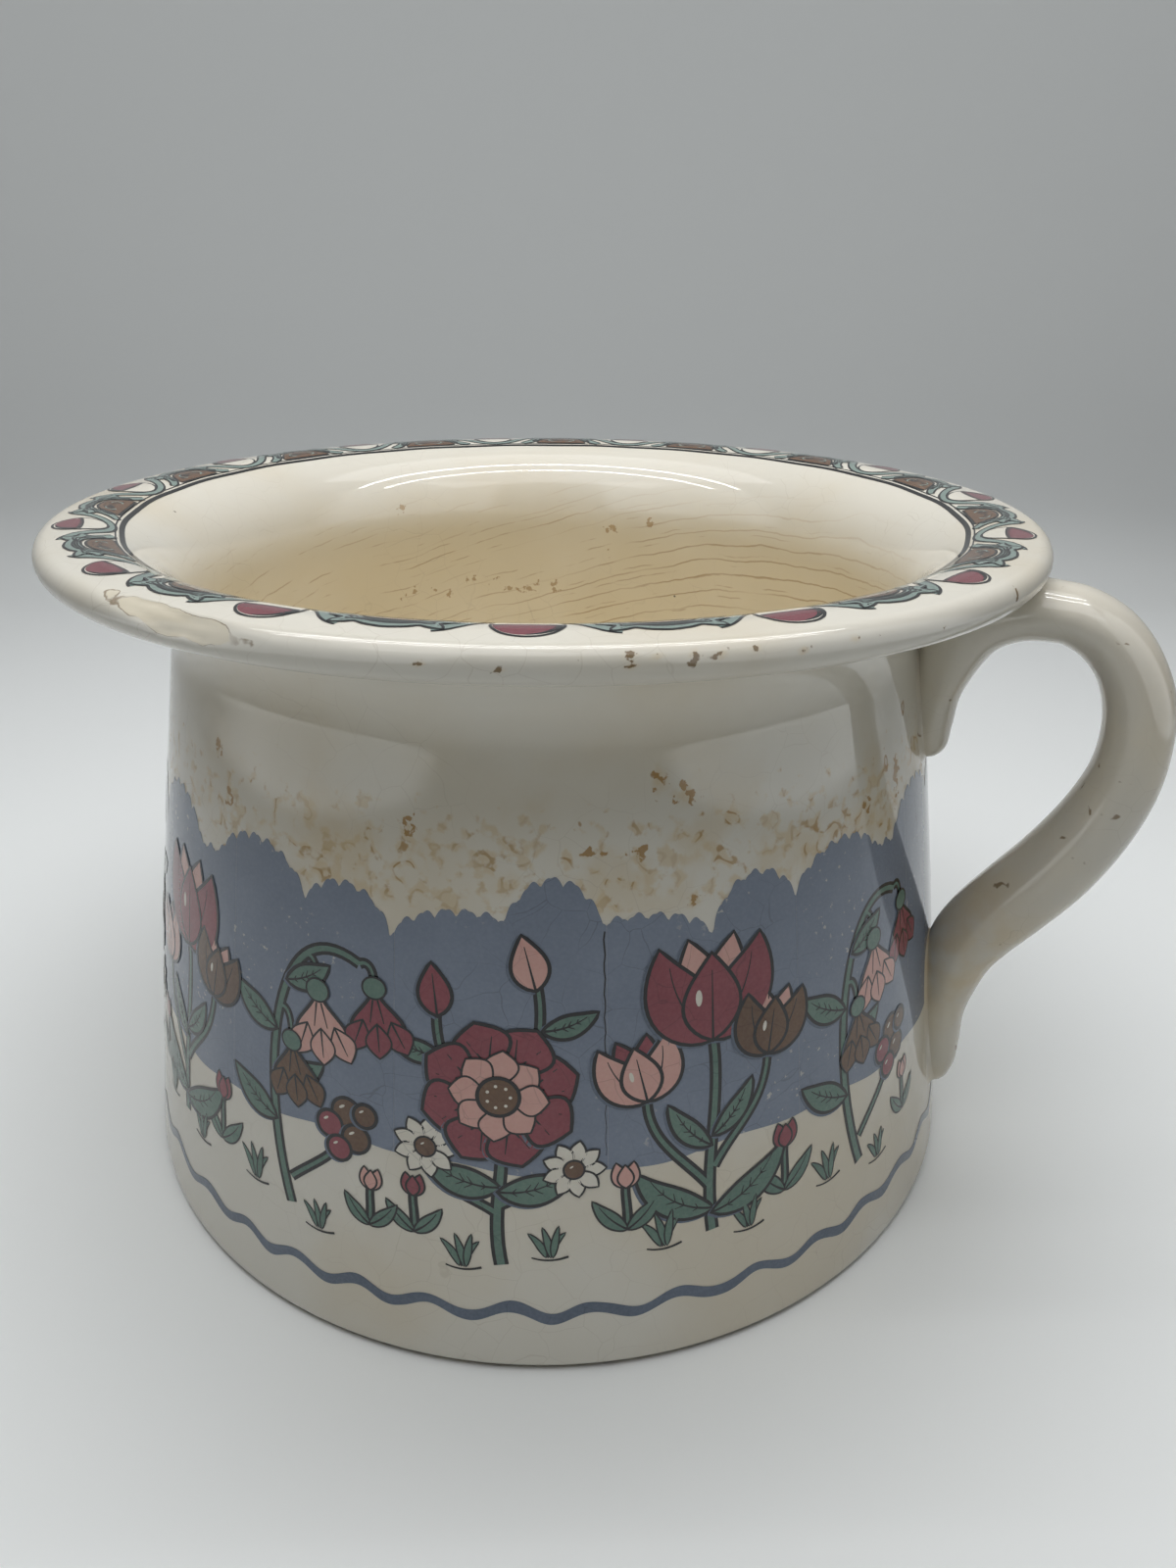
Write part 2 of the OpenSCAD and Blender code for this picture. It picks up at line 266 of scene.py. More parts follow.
class Shader:
    """A material with short calls for its nodes, and the colour that is laid down so far."""

    def __init__(self, name, colour):
        self.material = bpy.data.materials.new(name)
        self.material.use_nodes = True
        self.tree = self.material.node_tree
        self.bsdf = self.tree.nodes["Principled BSDF"].inputs
        self.place = self.node("ShaderNodeTexCoord", {})["Object"]
        self.colour = colour

    def put(self, socket, value):
        """Links an output to a socket, or sets the socket to a plain value."""
        if isinstance(value, bpy.types.NodeSocket):
            self.tree.links.new(value, socket)
        else:
            socket.default_value = value

    def node(self, kind, inputs, **settings):
        """The outputs of a new node."""
        node = self.tree.nodes.new(kind)
        for key, value in settings.items():
            setattr(node, key, value)
        for key, value in inputs.items():
            self.put(node.inputs[key], value)
        return node.outputs

    def attribute(self, name):
        return self.node("ShaderNodeAttribute", {}, attribute_name=name)["Fac"]

    def math(self, operation, a, b=0.0):
        return self.node("ShaderNodeMath", {0: a, 1: b}, operation=operation)[0]

    def add(self, a, b):
        return self.math("ADD", a, b)

    def times(self, product, *factors):
        for factor in factors:
            product = self.math("MULTIPLY", product, factor)
        return product

    def vector(self, operation, a, b=(0, 0, 0), c=(0, 0, 0)):
        return self.node("ShaderNodeVectorMath", {0: a, 1: b, 2: c}, operation=operation)

    def mix(self, amount, a, b):
        return self.node("ShaderNodeMix", {0: amount, 6: a, 7: b}, data_type="RGBA")[2]

    def lay(self, colour, *masks):
        """Lays a colour over the one so far, by the product of the masks."""
        self.colour = self.mix(self.times(*masks), self.colour, colour)

    def step(self, value, low, high):
        """A smooth step of a value from 0 at low to 1 at high. Low may be above high."""
        inputs = {"Value": value, "From Min": low, "From Max": high}
        return self.node("ShaderNodeMapRange", inputs, interpolation_type="SMOOTHSTEP")[0]

    def texture(self, kind, place, size_mm, inputs, **settings):
        inputs = {"Vector": place, "Scale": 1 / (size_mm * MM), **inputs}
        return self.node(kind, inputs, **settings)

    def noise(self, size_mm, detail, place=None):
        """Noise with features about this big."""
        return self.texture("ShaderNodeTexNoise", place or self.place, size_mm, {"Detail": detail})[0]

    def patches(self, size_mm, detail, low, high, place=None):
        """Patches about this big: 0 where noise is under low, 1 where it is over high."""
        return self.step(self.noise(size_mm, detail, place), low, high)

    def stretched(self, upward):
        """The place with its height stretched."""
        return self.vector("MULTIPLY", self.place, (1, 1, upward))["Vector"]

    def bent(self, place, size_mm, amount_mm):
        """The place moved about by noise, so that what is drawn there wavers."""
        shift = self.texture("ShaderNodeTexNoise", place, size_mm, {"Detail": 2.0})["Color"]
        reach = amount_mm * MM
        moved = self.vector("MULTIPLY_ADD", shift, (reach, reach, reach), place)["Vector"]
        return self.vector("SUBTRACT", moved, (reach / 2, reach / 2, reach / 2))["Vector"]

    def cells(self, place, cell_mm):
        """Distance from the middle of a cell, in cells, and a number for each cell."""
        cells = self.texture("ShaderNodeTexVoronoi", place, cell_mm, {})
        return cells["Distance"], cells["Color"]

    def specks(self, cell_mm, size):
        """1 in small spots, in about a third of the cells."""
        distance, number = self.cells(self.place, cell_mm)
        return self.times(self.step(distance, size, 0.5 * size), self.step(number, 0.58, 0.6))

    def pits(self, cell_mm, size):
        """Upright oval marks with a darker edge, in about a third of the cells."""
        distance, number = self.cells(self.bent(self.stretched(0.5), 4, 3), cell_mm)
        whole = self.step(distance, size, 0.9 * size)
        middle = self.step(distance, 0.6 * size, 0.45 * size)
        ring = self.math("SUBTRACT", whole, self.times(middle, 0.65))
        return self.times(ring, self.step(number, 0.54, 0.58))

    def strokes(self, size_mm, width):
        """Thin curved strokes that follow the level lines of noise."""
        away = self.math("ABSOLUTE", self.math("SUBTRACT", self.noise(size_mm, 1.0), 0.5))
        return self.step(away, width, 0.4 * width)

    def along(self, angle):
        """The place measured in a level direction."""
        way = (cos(angle), sin(angle), 0)
        return self.vector("DOT_PRODUCT", self.place, way)["Value"]

    def height(self):
        return self.vector("DOT_PRODUCT", self.place, (0, 0, 1))["Value"]

    def level_lines(self, spacing_mm, width_mm):
        """Thin lines that run round the pot, higher on one side, and waver."""
        height = self.math("SUBTRACT", self.height(), self.times(self.along(LINES_ANGLE), LINES_RISE))
        height = self.add(height, self.times(self.noise(75, 1.0), 22 * MM))
        height = self.add(height, self.times(self.noise(14, 3.0), 3.5 * MM))
        away = self.math("PINGPONG", height, spacing_mm / 2 * MM)
        return self.step(away, width_mm * MM, 0.3 * width_mm * MM)

    def crazing(self):
        """Hair-thin cracks in the glaze, in patches."""
        place = self.bent(self.place, 11, 5)
        edge = self.texture("ShaderNodeTexVoronoi", place, 8, {}, feature="DISTANCE_TO_EDGE")["Distance"]
        return self.times(self.step(edge, 0.012, 0.0024), self.patches(38, 2.0, 0.42, 0.62))

    def crumbs(self):
        """Small ragged marks within the brown spots."""
        spot = self.attribute("spot")
        ragged = self.add(self.times(spot, 0.28), self.noise(1.6, 4.0))
        return self.times(self.step(ragged, 0.68, 0.75), self.step(spot, 0.1, 0.3))

    def relief(self, height, depth_mm):
        """Relief too fine to model."""
        bump = self.node("ShaderNodeBump", {"Height": height, "Distance": depth_mm * MM, "Strength": 1.0})
        self.put(self.bsdf["Normal"], bump[0])

    def finish(self, roughness):
        self.put(self.bsdf["Base Color"], self.colour)
        self.put(self.bsdf["Roughness"], roughness)
        return self.material

    def glaze(self):
        """The finish that all glazed faces share: a hard gloss over the colour, with a slight ripple."""
        haze = {"Value": self.noise(9, 4.0), "To Min": 0.02, "To Max": 0.07}
        self.put(self.bsdf["IOR"], GLAZE_IOR)
        self.relief(self.noise(16, 2.0), GLAZE_RIPPLE)
        return self.finish(self.node("ShaderNodeMapRange", haze)[0])


def outside_glaze():
    """Cream glaze with brown marks in the band above the print and along the rim, and the worn chip."""
    shader = Shader("cream_glaze", CREAM)
    stain = shader.attribute("stain")
    shader.lay(AGED_CREAM, shader.patches(60, 4.0, 0.42, 0.7))
    shader.lay(OCHRE, 0.3, shader.patches(13, 4.0, 0.45, 0.68), stain)
    shader.lay(CRAZE, 0.16, shader.crazing())
    dense = shader.step(shader.add(shader.noise(2.8, 3.0), shader.times(stain, 0.4)), 0.86, 1.0)
    shader.lay(OCHRE, 0.42, shader.strokes(4.6, 0.17), dense)
    strong = shader.add(0.2, shader.times(shader.patches(9, 2.0, 0.4, 0.7), 0.6))
    shader.lay(OLD_STAIN, shader.strokes(4.6, 0.04), dense, strong)
    shader.lay(OLD_STAIN, 0.7, shader.pits(8, 0.12), shader.step(stain, 0.1, 0.5))
    halo = shader.step(shader.attribute("spot"), 0.1, 1.0)
    shader.lay(OCHRE, 0.4, halo, shader.patches(3, 3.0, 0.4, 0.6))
    shader.lay(shader.mix(shader.step(stain, 0.0, 0.3), STAIN, OLD_STAIN), 0.85, shader.crumbs())
    shader.lay(SPECK, 0.85, shader.specks(17, 0.028))
    ragged = shader.add(shader.attribute("chip"), shader.times(shader.noise(3, 3.0), 0.2))
    bare = shader.step(ragged, 0.37, 0.41)
    edge = shader.math("SUBTRACT", shader.step(ragged, 0.33, 0.36), bare)
    shader.lay(STAIN, 0.7, edge, shader.patches(7, 2.0, 0.34, 0.54))
    shader.lay(WORN_CREAM, bare)
    return shader.glaze()


def inside_glaze():
    """The glaze inside, white at the mouth and tan lower down, with long wavering cracks. The tan is partly
    the glaze's own warmer tone and partly painted light: it is paler than the outside cream, standing in for
    light bouncing about inside.
    """
    shader = Shader("inside_glaze", CREAM)
    deep_tan_and_light = shader.attribute("deep_tan_and_light")
    shader.lay(AGED_CREAM, shader.patches(60, 4.0, 0.42, 0.7))
    # Painted light and tan: deeper in, the glaze is laid paler and warmer than the cream
    shader.lay(shader.mix(shader.patches(48, 4.0, 0.3, 0.75), DEEP_TAN_AND_BOUNCE_LIGHT, TAN_AND_BOUNCE_LIGHT), deep_tan_and_light)
    upright = shader.times(deep_tan_and_light, shader.step(shader.height(), 0.02, 0.05))
    side = shader.times(shader.along(LINES_MOST_ANGLE), 3.4)
    worn = shader.step(shader.add(shader.noise(40, 2.0, shader.stretched(2)), side), 0.52, 0.74)
    shader.lay(OLD_STAIN, 0.55, shader.level_lines(4.6, 0.3), worn, upright)
    broken = shader.patches(13, 3.0, 0.5, 0.64, shader.stretched(3))
    shader.lay(OLD_STAIN, 0.4, shader.level_lines(3.1, 0.26), broken, upright)
    shader.lay(CRAZE, 0.15, shader.crazing())
    shader.lay(OLD_STAIN, 0.6, shader.crumbs())
    shader.lay(SPECK, 0.8, shader.specks(14, 0.03))
    return shader.glaze()


def bare_clay():
    """The unglazed ring that the pot stands on, darker than clean clay: partly dirt, partly painted shade in
    the recess under the foot.
    """
    shader = Shader("bare_clay", CLAY_DIRT_AND_SHADE)
    shader.lay(DARK_CLAY, shader.patches(3, 5.0, 0.3, 0.75))
    shader.relief(shader.noise(0.8, 4.0), CLAY_GRAIN)
    return shader.finish(CLAY_ROUGHNESS)


def handle_glaze(name):
    """Cream glaze, darker than the body's as painted shade, with a few brown scratches and specks, and a
    yellow stain about the lower root.
    """
    shader = Shader(name, HANDLE_SHADE_CREAM)
    shader.lay(AGED_CREAM, shader.patches(30, 4.0, 0.4, 0.7))
    root = Vector((wall_r(LOWER_ROOT_Z) + 4, 0, LOWER_ROOT_Z + 4)) * MM
    away = shader.vector("DISTANCE", shader.place, root)["Value"]
    shader.lay(OCHRE, 0.4, shader.step(away, 0.03, 0.008), shader.patches(8, 4.0, 0.3, 0.65))
    shader.lay(CRAZE, 0.15, shader.crazing())
    shader.lay(STAIN, 0.75, shader.strokes(6, 0.03), shader.patches(4, 2.0, 0.64, 0.7))
    shader.lay(SPECK, 0.9, shader.specks(19, 0.03))
    return shader.glaze()


def print_colour(name, colour, paler, mottle, misses):
    """A printed colour under the glaze: grainy, uneven, with flecks missing, and crossed by the crazing."""
    shader = Shader(name, linear(*colour))
    uneven = shader.add(shader.patches(0.7, 3.0, 0.3, 0.8), shader.patches(12, 4.0, 0.3, 0.75))
    shader.lay(linear(*paler), mottle, uneven)
    shader.lay(CREAM, misses, shader.patches(1.3, 4.0, 0.64, 0.7), shader.patches(22, 2.0, 0.5, 0.62))
    shader.lay(INK, 0.25, shader.crazing())
    return shader.glaze()


# The body

COLUMNS = 360
UNDER_STEPS = 8
WALL_STEPS = 92
COVE_STEPS = 24
EDGE_STEPS = 20
FLANGE_STEPS = 14
THROAT_STEPS = 34
INSIDE_STEPS = 48
CORNER_STEPS = 14
FLOOR_STEPS = 10
ON_AXIS = 0.001
CHIP_ANGLE = radians(-99.5)
CHIP_HALF_ANGLE = radians(12)
CHIP_HALF_W = 3.1
CHIP_SLANT = 9.0
CHIP_SINK = 0.6
CHIP_DROP = 0.4
MARK_LOW = 88.0
MARK_LOW_FULL = 98.0
MARK_HIGH_FULL = 106.0
MARK_HIGH = 128.0
SPOT_CORE = 1.4
# Heights over which the inside's tan and painted light come in
TAN_LIGHT_LOW = 118.0
TAN_LIGHT_HIGH = 145.0

# Brown marks: angle in degrees, height, half width along the wall and half height, in millimetres
WALL_SPOTS = [
    (-112.7, 114.5, 1.4, 2.2), (-109.5, 105.9, 1.6, 2.0), (-82.4, 109.9, 1.5, 2.0), (-53.7, 118.1, 1.3, 3.0),
    (-50.5, 115.6, 2.8, 2.2), (-61.4, 106.6, 2.6, 1.0), (-56.4, 106.1, 2.0, 1.2), (-49.8, 96.0, 1.4, 1.4),
    (-22.6, 104.0, 1.4, 2.0), (-14.4, 105.4, 1.8, 6.0), (-160.0, 110.0, 2.0, 1.6), (130.0, 104.0, 1.6, 3.0),
    (70.0, 112.0, 1.8, 1.6),
]
RIM_SPOTS = [
    (-76.0, 146.0, 0.6, 0.5), (-70.0, 145.4, 0.6, 0.5), (-64.3, 147.1, 0.6, 0.5), (-59.9, 147.4, 0.9, 0.6),
    (-58.3, 147.1, 1.0, 0.5), (-59.8, 146.0, 0.9, 0.6), (-54.9, 146.7, 1.4, 1.1), (-52.8, 146.9, 1.1, 0.8),
    (-50.3, 147.2, 0.7, 0.7), (-49.4, 145.7, 0.6, 0.5), (-46.1, 146.3, 1.3, 0.7), (-40.6, 147.0, 1.3, 0.7),
    (-37.5, 147.0, 0.9, 0.5), (-31.3, 145.8, 0.7, 0.5), (-18.1, 146.6, 0.8, 1.2), (96.0, 145.0, 1.2, 0.9),
    (160.0, 145.6, 1.0, 0.8),
]
INSIDE_SPOTS = [
    (146.6, 107.9, 1.6, 1.6), (143.7, 109.4, 1.4, 1.4), (139.0, 109.2, 2.0, 1.3), (136.1, 106.8, 1.6, 1.6),
    (131.0, 111.1, 2.4, 1.4), (126.4, 110.3, 2.8, 1.3), (123.1, 107.6, 1.8, 1.3), (119.7, 107.2, 2.6, 1.3),
    (116.9, 108.8, 1.4, 1.8), (112.9, 108.1, 2.2, 1.3), (146.7, 133.9, 1.8, 1.2), (101.3, 118.9, 1.4, 1.3),
    (101.5, 126.6, 3.2, 1.2), (92.3, 129.2, 1.5, 1.2),
]


def body_outline():
    """Points of the pot's section with a zone each, from the middle below, out, over the rim and in."""
    floor_z = FOOT_HOLLOW + FLOOR_T
    gauge_r = wall_r(GAUGE_Z) - WALL_T
    out, up = MOUTH_R - gauge_r, THROAT_Z - GAUGE_Z
    inside_lean = atan2(up, out) + asin(THROAT_R / hypot(out, up)) - pi / 2
    lean_deg = degrees(inside_lean)
    corner_z = floor_z + CORNER_R
    corner_u = gauge_r + tan(inside_lean) * (GAUGE_Z - corner_z) - CORNER_R / cos(inside_lean)
    foot_u = wall_r(FOOT_EDGE_R) - FOOT_EDGE_R
    foot_in = foot_u - FOOT_RING_W
    under = straight((0, FOOT_HOLLOW), (foot_in - FOOT_HOLLOW, FOOT_HOLLOW), UNDER_STEPS)
    under.append((foot_in - FOOT_BEVEL_W, FOOT_BEVEL_H))
    ring = [(foot_in, 0.0), (foot_u - RECESS_LOW, 0.0), (foot_u - RECESS_HIGH, RECESS_H)]
    outside = arc(foot_u, FOOT_EDGE_R, FOOT_EDGE_R, -13, -5, 2)
    heights = [FOOT_EDGE_R + (JOIN_Z - FOOT_EDGE_R) * i / WALL_STEPS for i in range(WALL_STEPS + 1)]
    outside += [(wall_r(z), z) for z in heights]
    outside += arc(COVE_U, COVE_Z, COVE_R, 180 + degrees(WALL_LEAN) - 4, 90, COVE_STEPS)
    rim = arc(EDGE_U, EDGE_Z, EDGE_R, -90, 90, EDGE_STEPS)
    rim += straight((EDGE_U, EDGE_Z + EDGE_R), (MOUTH_R, POT_H), FLANGE_STEPS)[1:-1]
    throat = arc(MOUTH_R, THROAT_Z, THROAT_R, 90, 180 + lean_deg, THROAT_STEPS)
    corner = arc(corner_u, corner_z, CORNER_R, lean_deg, -90, CORNER_STEPS)
    down = straight(throat[-1], corner[0], INSIDE_STEPS)[1:-1]
    bottom = straight((corner_u, floor_z), (0, floor_z), FLOOR_STEPS)[1:]
    zones = [(under, "under"), (ring, "foot"), (outside, "outside"), (rim, "rim"),
             (throat + down + corner + bottom, "inside")]
    return [(u, z, zone) for points, zone in zones for u, z in points]


def turned(outline, columns):
    """Vertices, faces and rows of an outline turned about the axis, from the axis and back to it."""
    rows = []
    vertices = []
    for u, z, _ in outline:
        start = len(vertices)
        if u < ON_AXIS:
            rows.append([start] * columns)
            vertices.append((0, 0, z))
            continue
        rows.append(range(start, start + columns))
        angles = [tau * k / columns for k in range(columns)]
        vertices += [(u * cos(a), u * sin(a), z) for a in angles]
    return vertices, ring_faces(rows), rows


def turn_from(angle, start):
    """The turn from one angle to another, the short way round."""
    return (angle - start + pi) % tau - pi


def chip_depth(angle, u, z):
    """How far into the slanting chip on the rim's edge a point is, 0 to 1."""
    turn = turn_from(angle, CHIP_ANGLE)
    down = EDGE_R * atan2(u - EDGE_U, z - EDGE_Z) if u > EDGE_U else u - EDGE_U
    off = (down - EDGE_R * pi / 4 - CHIP_SLANT * turn) / CHIP_HALF_W
    ragged = 0.25 * noise.noise(Vector((angle * 40, u * 0.3, z * 0.3)))
    depth = 1.0 - hypot(turn / CHIP_HALF_ANGLE, off)
    return max(0.0, depth + ragged * smooth(-0.4, 0.2, depth))


def spot_depth(spots, angle, u, z):
    """How far into the nearest of the brown marks a point is, 0 to 1."""
    depth = 0.0
    for spot_angle, spot_z, half_w, half_h in spots:
        turn = turn_from(angle, radians(spot_angle))
        depth = max(depth, SPOT_CORE - hypot(turn * u / half_w, (z - spot_z) / half_h))
    return min(depth, 1.0)


def body():
    """Floor, wall, rim and foot, with the marks' places kept on the points."""
    outline = body_outline()
    vertices, faces, rows = turned(outline, COLUMNS)
    marks = {name: [0.0] * len(vertices) for name in ("stain", "spot", "deep_tan_and_light", "chip")}
    zone_spots = {"outside": WALL_SPOTS, "rim": RIM_SPOTS, "inside": INSIDE_SPOTS}
    for (u, z, zone), row in zip(outline, rows):
        band = smooth(MARK_LOW, MARK_LOW_FULL, z) * smooth(MARK_HIGH, MARK_HIGH_FULL, z)
        for i in row:
            x, y, _ = vertices[i]
            angle = atan2(y, x)
            marks["spot"][i] = spot_depth(zone_spots.get(zone, []), angle, u, z)
            if zone == "outside":
                marks["stain"][i] = band
            if zone == "rim":
                marks["chip"][i] = chip_depth(angle, u, z)
                worn = smooth(0.1, 0.6, marks["chip"][i])
                sunk = 1 - CHIP_SINK * worn / u
                vertices[i] = (x * sunk, y * sunk, z - CHIP_DROP * worn)
            if zone == "inside":
                # Share of the inside's tan and painted bounce light, growing toward the bottom
                marks["deep_tan_and_light"][i] = smooth(TAN_LIGHT_HIGH, TAN_LIGHT_LOW, z)
    zone_slot = {"under": 0, "foot": 2, "outside": 0, "rim": 0, "inside": 1}
    face_slots = []
    for (_, _, zone), (_, _, next_zone) in zip(outline, outline[1:]):
        slot = zone_slot[next_zone] if zone == "under" else zone_slot[zone]
        face_slots += [slot] * COLUMNS
    piece = new_piece("pot_shell", vertices, faces, "pot_body",
                      [outside_glaze(), inside_glaze(), bare_clay()], face_slots)
    for name, values in marks.items():
        piece.data.attributes.new(name, "FLOAT", "POINT").data.foreach_set("value", values)


# The handle

STRAP_HALF_T = 6.5
STRAP_HALF_W = 9.0
STRAP_SUNK = 0.4
HANDLE_REACH = 43.2
UPPER_TAIL = 40.0
LOWER_ROOT_Z = 57.0
LOWER_TAIL = 37.8
TOP_Z = UNDER_Z - 0.92 * STRAP_HALF_T
RING_POINTS = 56
ROW_STEPS = 9
SLIP_FILLET = 2.2
SLIP_SUNK = 0.05
SLIP_POINTS = 140
SLIP_STEPS = 7
SLIP_SMOOTHINGS = 6
NORMAL_STEP = 0.05
TINY = 1e-9


# Rows of the strap from its upper tip to its lower tip. The last three numbers are shares of the strap's half
# thickness toward the finger gap, its half thickness away from it, and its half width.
# On a tail, the first two are a share of the tail's length and the distance off the wall in millimetres
UPPER_ROWS = [
    (0, 0.6, 0.1, 0.3, 0.12), (0.03, 0.9, 0.36, 0.5, 0.34), (0.09, 1.5, 0.55, 0.6, 0.5),
    (0.2, 2.3, 0.6, 0.65, 0.6), (0.42, 5.4, 0.56, 1.05, 0.72),
]
LOWER_ROWS = [
    (0, 6.8, 1.12, 1.22, 1.04), (0.24, 4, 0.9, 1, 0.95), (0.45, 2.6, 0.7, 0.8, 0.82),
    (0.66, 1.7, 0.6, 0.76, 0.68), (0.82, 1.1, 0.5, 0.7, 0.54), (0.93, 0.8, 0.4, 0.5, 0.36),
    (0.98, 0.7, 0.3, 0.28, 0.2), (1, 0.6, 0.2, 0.1, 0.08),
]

# On the loop, the first two are shares of its reach and of its drop
LOOP_ROWS = [
    (0.245, 0.075, 0.8, 1.5, 0.92), (0.4, 0.013, 0.88, 1.1, 1), (0.583, 0, 0.9, 0.88, 1),
    (0.6875, 0.013, 0.9, 0.9, 1), (0.803, 0.05, 0.93, 0.93, 1), (0.907, 0.116, 0.96, 0.96, 1),
    (0.98, 0.21, 1, 1.04, 1), (1, 0.32, 1, 1.08, 1), (0.972, 0.433, 1.02, 1.18, 1),
    (0.884, 0.56, 1.06, 1.32, 1.02), (0.757, 0.686, 1.1, 1.44, 1.04), (0.618, 0.8, 1.14, 1.44, 1.06),
    (0.49, 0.908, 1.16, 1.36, 1.06),
]


def strap_rows():
    """Radius, height, both half thicknesses and half width of the strap at each row."""
    upper = [(UNDER_Z - UPPER_TAIL * (1 - share), *row) for share, *row in UPPER_ROWS]
    lower = [(LOWER_ROOT_Z - LOWER_TAIL * share, *row) for share, *row in LOWER_ROWS]
    rows = [(wall_r(z) + off, z, *shares) for z, off, *shares in upper]
    rows += [(NECK_R + out * HANDLE_REACH, TOP_Z - down * (TOP_Z - LOWER_ROOT_Z), *shares)
             for out, down, *shares in LOOP_ROWS]
    rows += [(wall_r(z) + off, z, *shares) for z, off, *shares in lower]
    return [(u, z, inner * STRAP_HALF_T, outer * STRAP_HALF_T, width * STRAP_HALF_W)
            for u, z, inner, outer, width in rows]


def curve(a, b, c, d, t):
    """A smooth curve through b and c, for rows of numbers."""
    def one(p, q, r, s):
        square, cube = 2 * p - 5 * q + 4 * r - s, 3 * q - p - 3 * r + s
        return 0.5 * (2 * q + (r - p) * t + square * t * t + cube * t ** 3)
    return tuple(one(*column) for column in zip(a, b, c, d))


def through(points, steps):
    """An open line through rows of numbers, with its corners softened."""
    last = len(points) - 1
    line = []
    for i in range(last):
        ends = (points[max(i - 1, 0)], points[i], points[i + 1], points[min(i + 2, last)])
        line += [curve(*ends, k / steps) for k in range(steps)]
    return line + [points[last]]


def strap_ring(path, j):
    """The points of one section of the strap."""
    before, after = path[max(j - 1, 0)], path[min(j + 1, len(path) - 1)]
    du, dz = after[0] - before[0], after[1] - before[1]
    length = hypot(du, dz)
    du, dz = du / length, dz / length
    u, z, inner, outer, half_w = path[j]
    ring = []
    for k in range(RING_POINTS):
        a = tau * k / RING_POINTS
        off = cos(a) * (inner if cos(a) > 0 else outer)
        ring.append(Vector((u + dz * off, half_w * sin(a), z - du * off)))
    return ring


def off_pot(p):
    """Distance of a point from the outside of the pot, below the rim."""
    r = hypot(p.x, p.y)
    if p.z < JOIN_Z:
        return (r - wall_r(p.z)) * cos(wall_tilt(p.z))
    if r > EDGE_U:
        return hypot(r - EDGE_U, p.z - EDGE_Z) - EDGE_R
    if r > COVE_U:
        return UNDER_Z - p.z
    return COVE_R - hypot(r - COVE_U, p.z - COVE_Z)


def pot_normal(p):
    """Direction away from the outside of the pot at a point near it."""
    parts = []
    for axis in Matrix.Identity(3) * NORMAL_STEP:
        parts.append(off_pot(p + axis) - off_pot(p - axis))
    return Vector(parts).normalized()


def strap_rings():
    """The points of each section of the strap, from the upper tail to the lower."""
    path = through(strap_rows(), ROW_STEPS)
    return [strap_ring(path, j) for j in range(len(path))]


def handle(rings):
    """The strap, sunk a little into the slip where it meets the pot."""
    vertices = []
    for p in (p for ring in rings for p in ring):
        depth = off_pot(p)
        if depth < -STRAP_SUNK:
            p = p - pot_normal(p) * (depth + STRAP_SUNK)
        vertices.append(p)
    rows = [range(i, i + RING_POINTS) for i in range(0, len(vertices), RING_POINTS)]
    faces = ring_faces(rows) + [tuple(rows[0][::-1]), tuple(rows[-1])]
    new_piece("strap_handle", vertices, faces, "handle", [handle_glaze("handle_glaze")])


def meeting_line(rings):
    """The closed line on the pot along which a tail leaves it, from the rings of the tail."""
    right, left = [], []
    for ring in rings:
        depths = [off_pot(p) for p in ring]
        for k in range(RING_POINTS):
            n = (k + 1) % RING_POINTS
            if (depths[k] > 0) != (depths[n] > 0):
                t = depths[k] / (depths[k] - depths[n])
                p = ring[k].lerp(ring[n], t)
                (right if p.y > 0 else left).append(p)
    return right + left[::-1]


def even_line(points):
    """A closed line through the points at even steps, smoothed a little."""
    lengths = [0.0]
    closed = points + points[:1]
    for a, b in zip(closed, closed[1:]):
        lengths.append(lengths[-1] + (b - a).length)
    line = []
    i = 0
    for k in range(SLIP_POINTS):
        target = lengths[-1] * k / SLIP_POINTS
        while lengths[i + 1] < target:
            i += 1
        span = max(lengths[i + 1] - lengths[i], TINY)
        line.append(closed[i].lerp(closed[i + 1], (target - lengths[i]) / span))
    for _ in range(SLIP_SMOOTHINGS):
        line = [(line[k - 1] + line[k] * 2 + line[(k + 1) % SLIP_POINTS]) / 4 for k in range(SLIP_POINTS)]
    return line


def luting(name, node, rings, material):
    """The slip along a tail's edge: a hollow fillet from the pot to the tail."""
    line = even_line(meeting_line(rings))
    centre = sum(line, Vector()) / SLIP_POINTS
    vertices = []
    for k, p in enumerate(line):
        normal = pot_normal(p)
        p = p - normal * off_pot(p)
        along = (line[(k + 1) % SLIP_POINTS] - line[k - 1]).normalized()
        away = along.cross(normal).normalized()
        if away.dot(p - centre) < 0:
            away = -away
        for s in range(SLIP_STEPS + 1):
            a = pi / 2 * s / SLIP_STEPS
            q = p + away * SLIP_FILLET * (1 - sin(a)) + normal * SLIP_FILLET * (1 - cos(a))
            if s == 0:
                q = q - normal * (off_pot(q) + SLIP_SUNK)
            vertices.append(q)
    wide = SLIP_STEPS + 1
    rows = [range(s, len(vertices), wide) for s in range(wide)]
    new_piece(name, vertices, ring_faces(rows), node, [material])


# Printed shapes, drawn flat in millimetres: x along the band, y up or outward

LEAF_STEPS = 15
STEM_LAYER = 2
LEAF_LAYER = 5
FLOWER_LAYER = 16
UP = pi / 2


def polar(x, y, reach, turn):
    """The point at a distance and in a direction from a place."""
    return x + reach * cos(turn), y + reach * sin(turn)


def ellipse(x, y, rx, ry, turn=0.0, points=30):
    outline = []
    for i in range(points):
        a = tau * i / points
        px, py = polar(x, y, rx * cos(a), turn)
        outline.append(polar(px, py, ry * sin(a), turn + UP))
    return outline


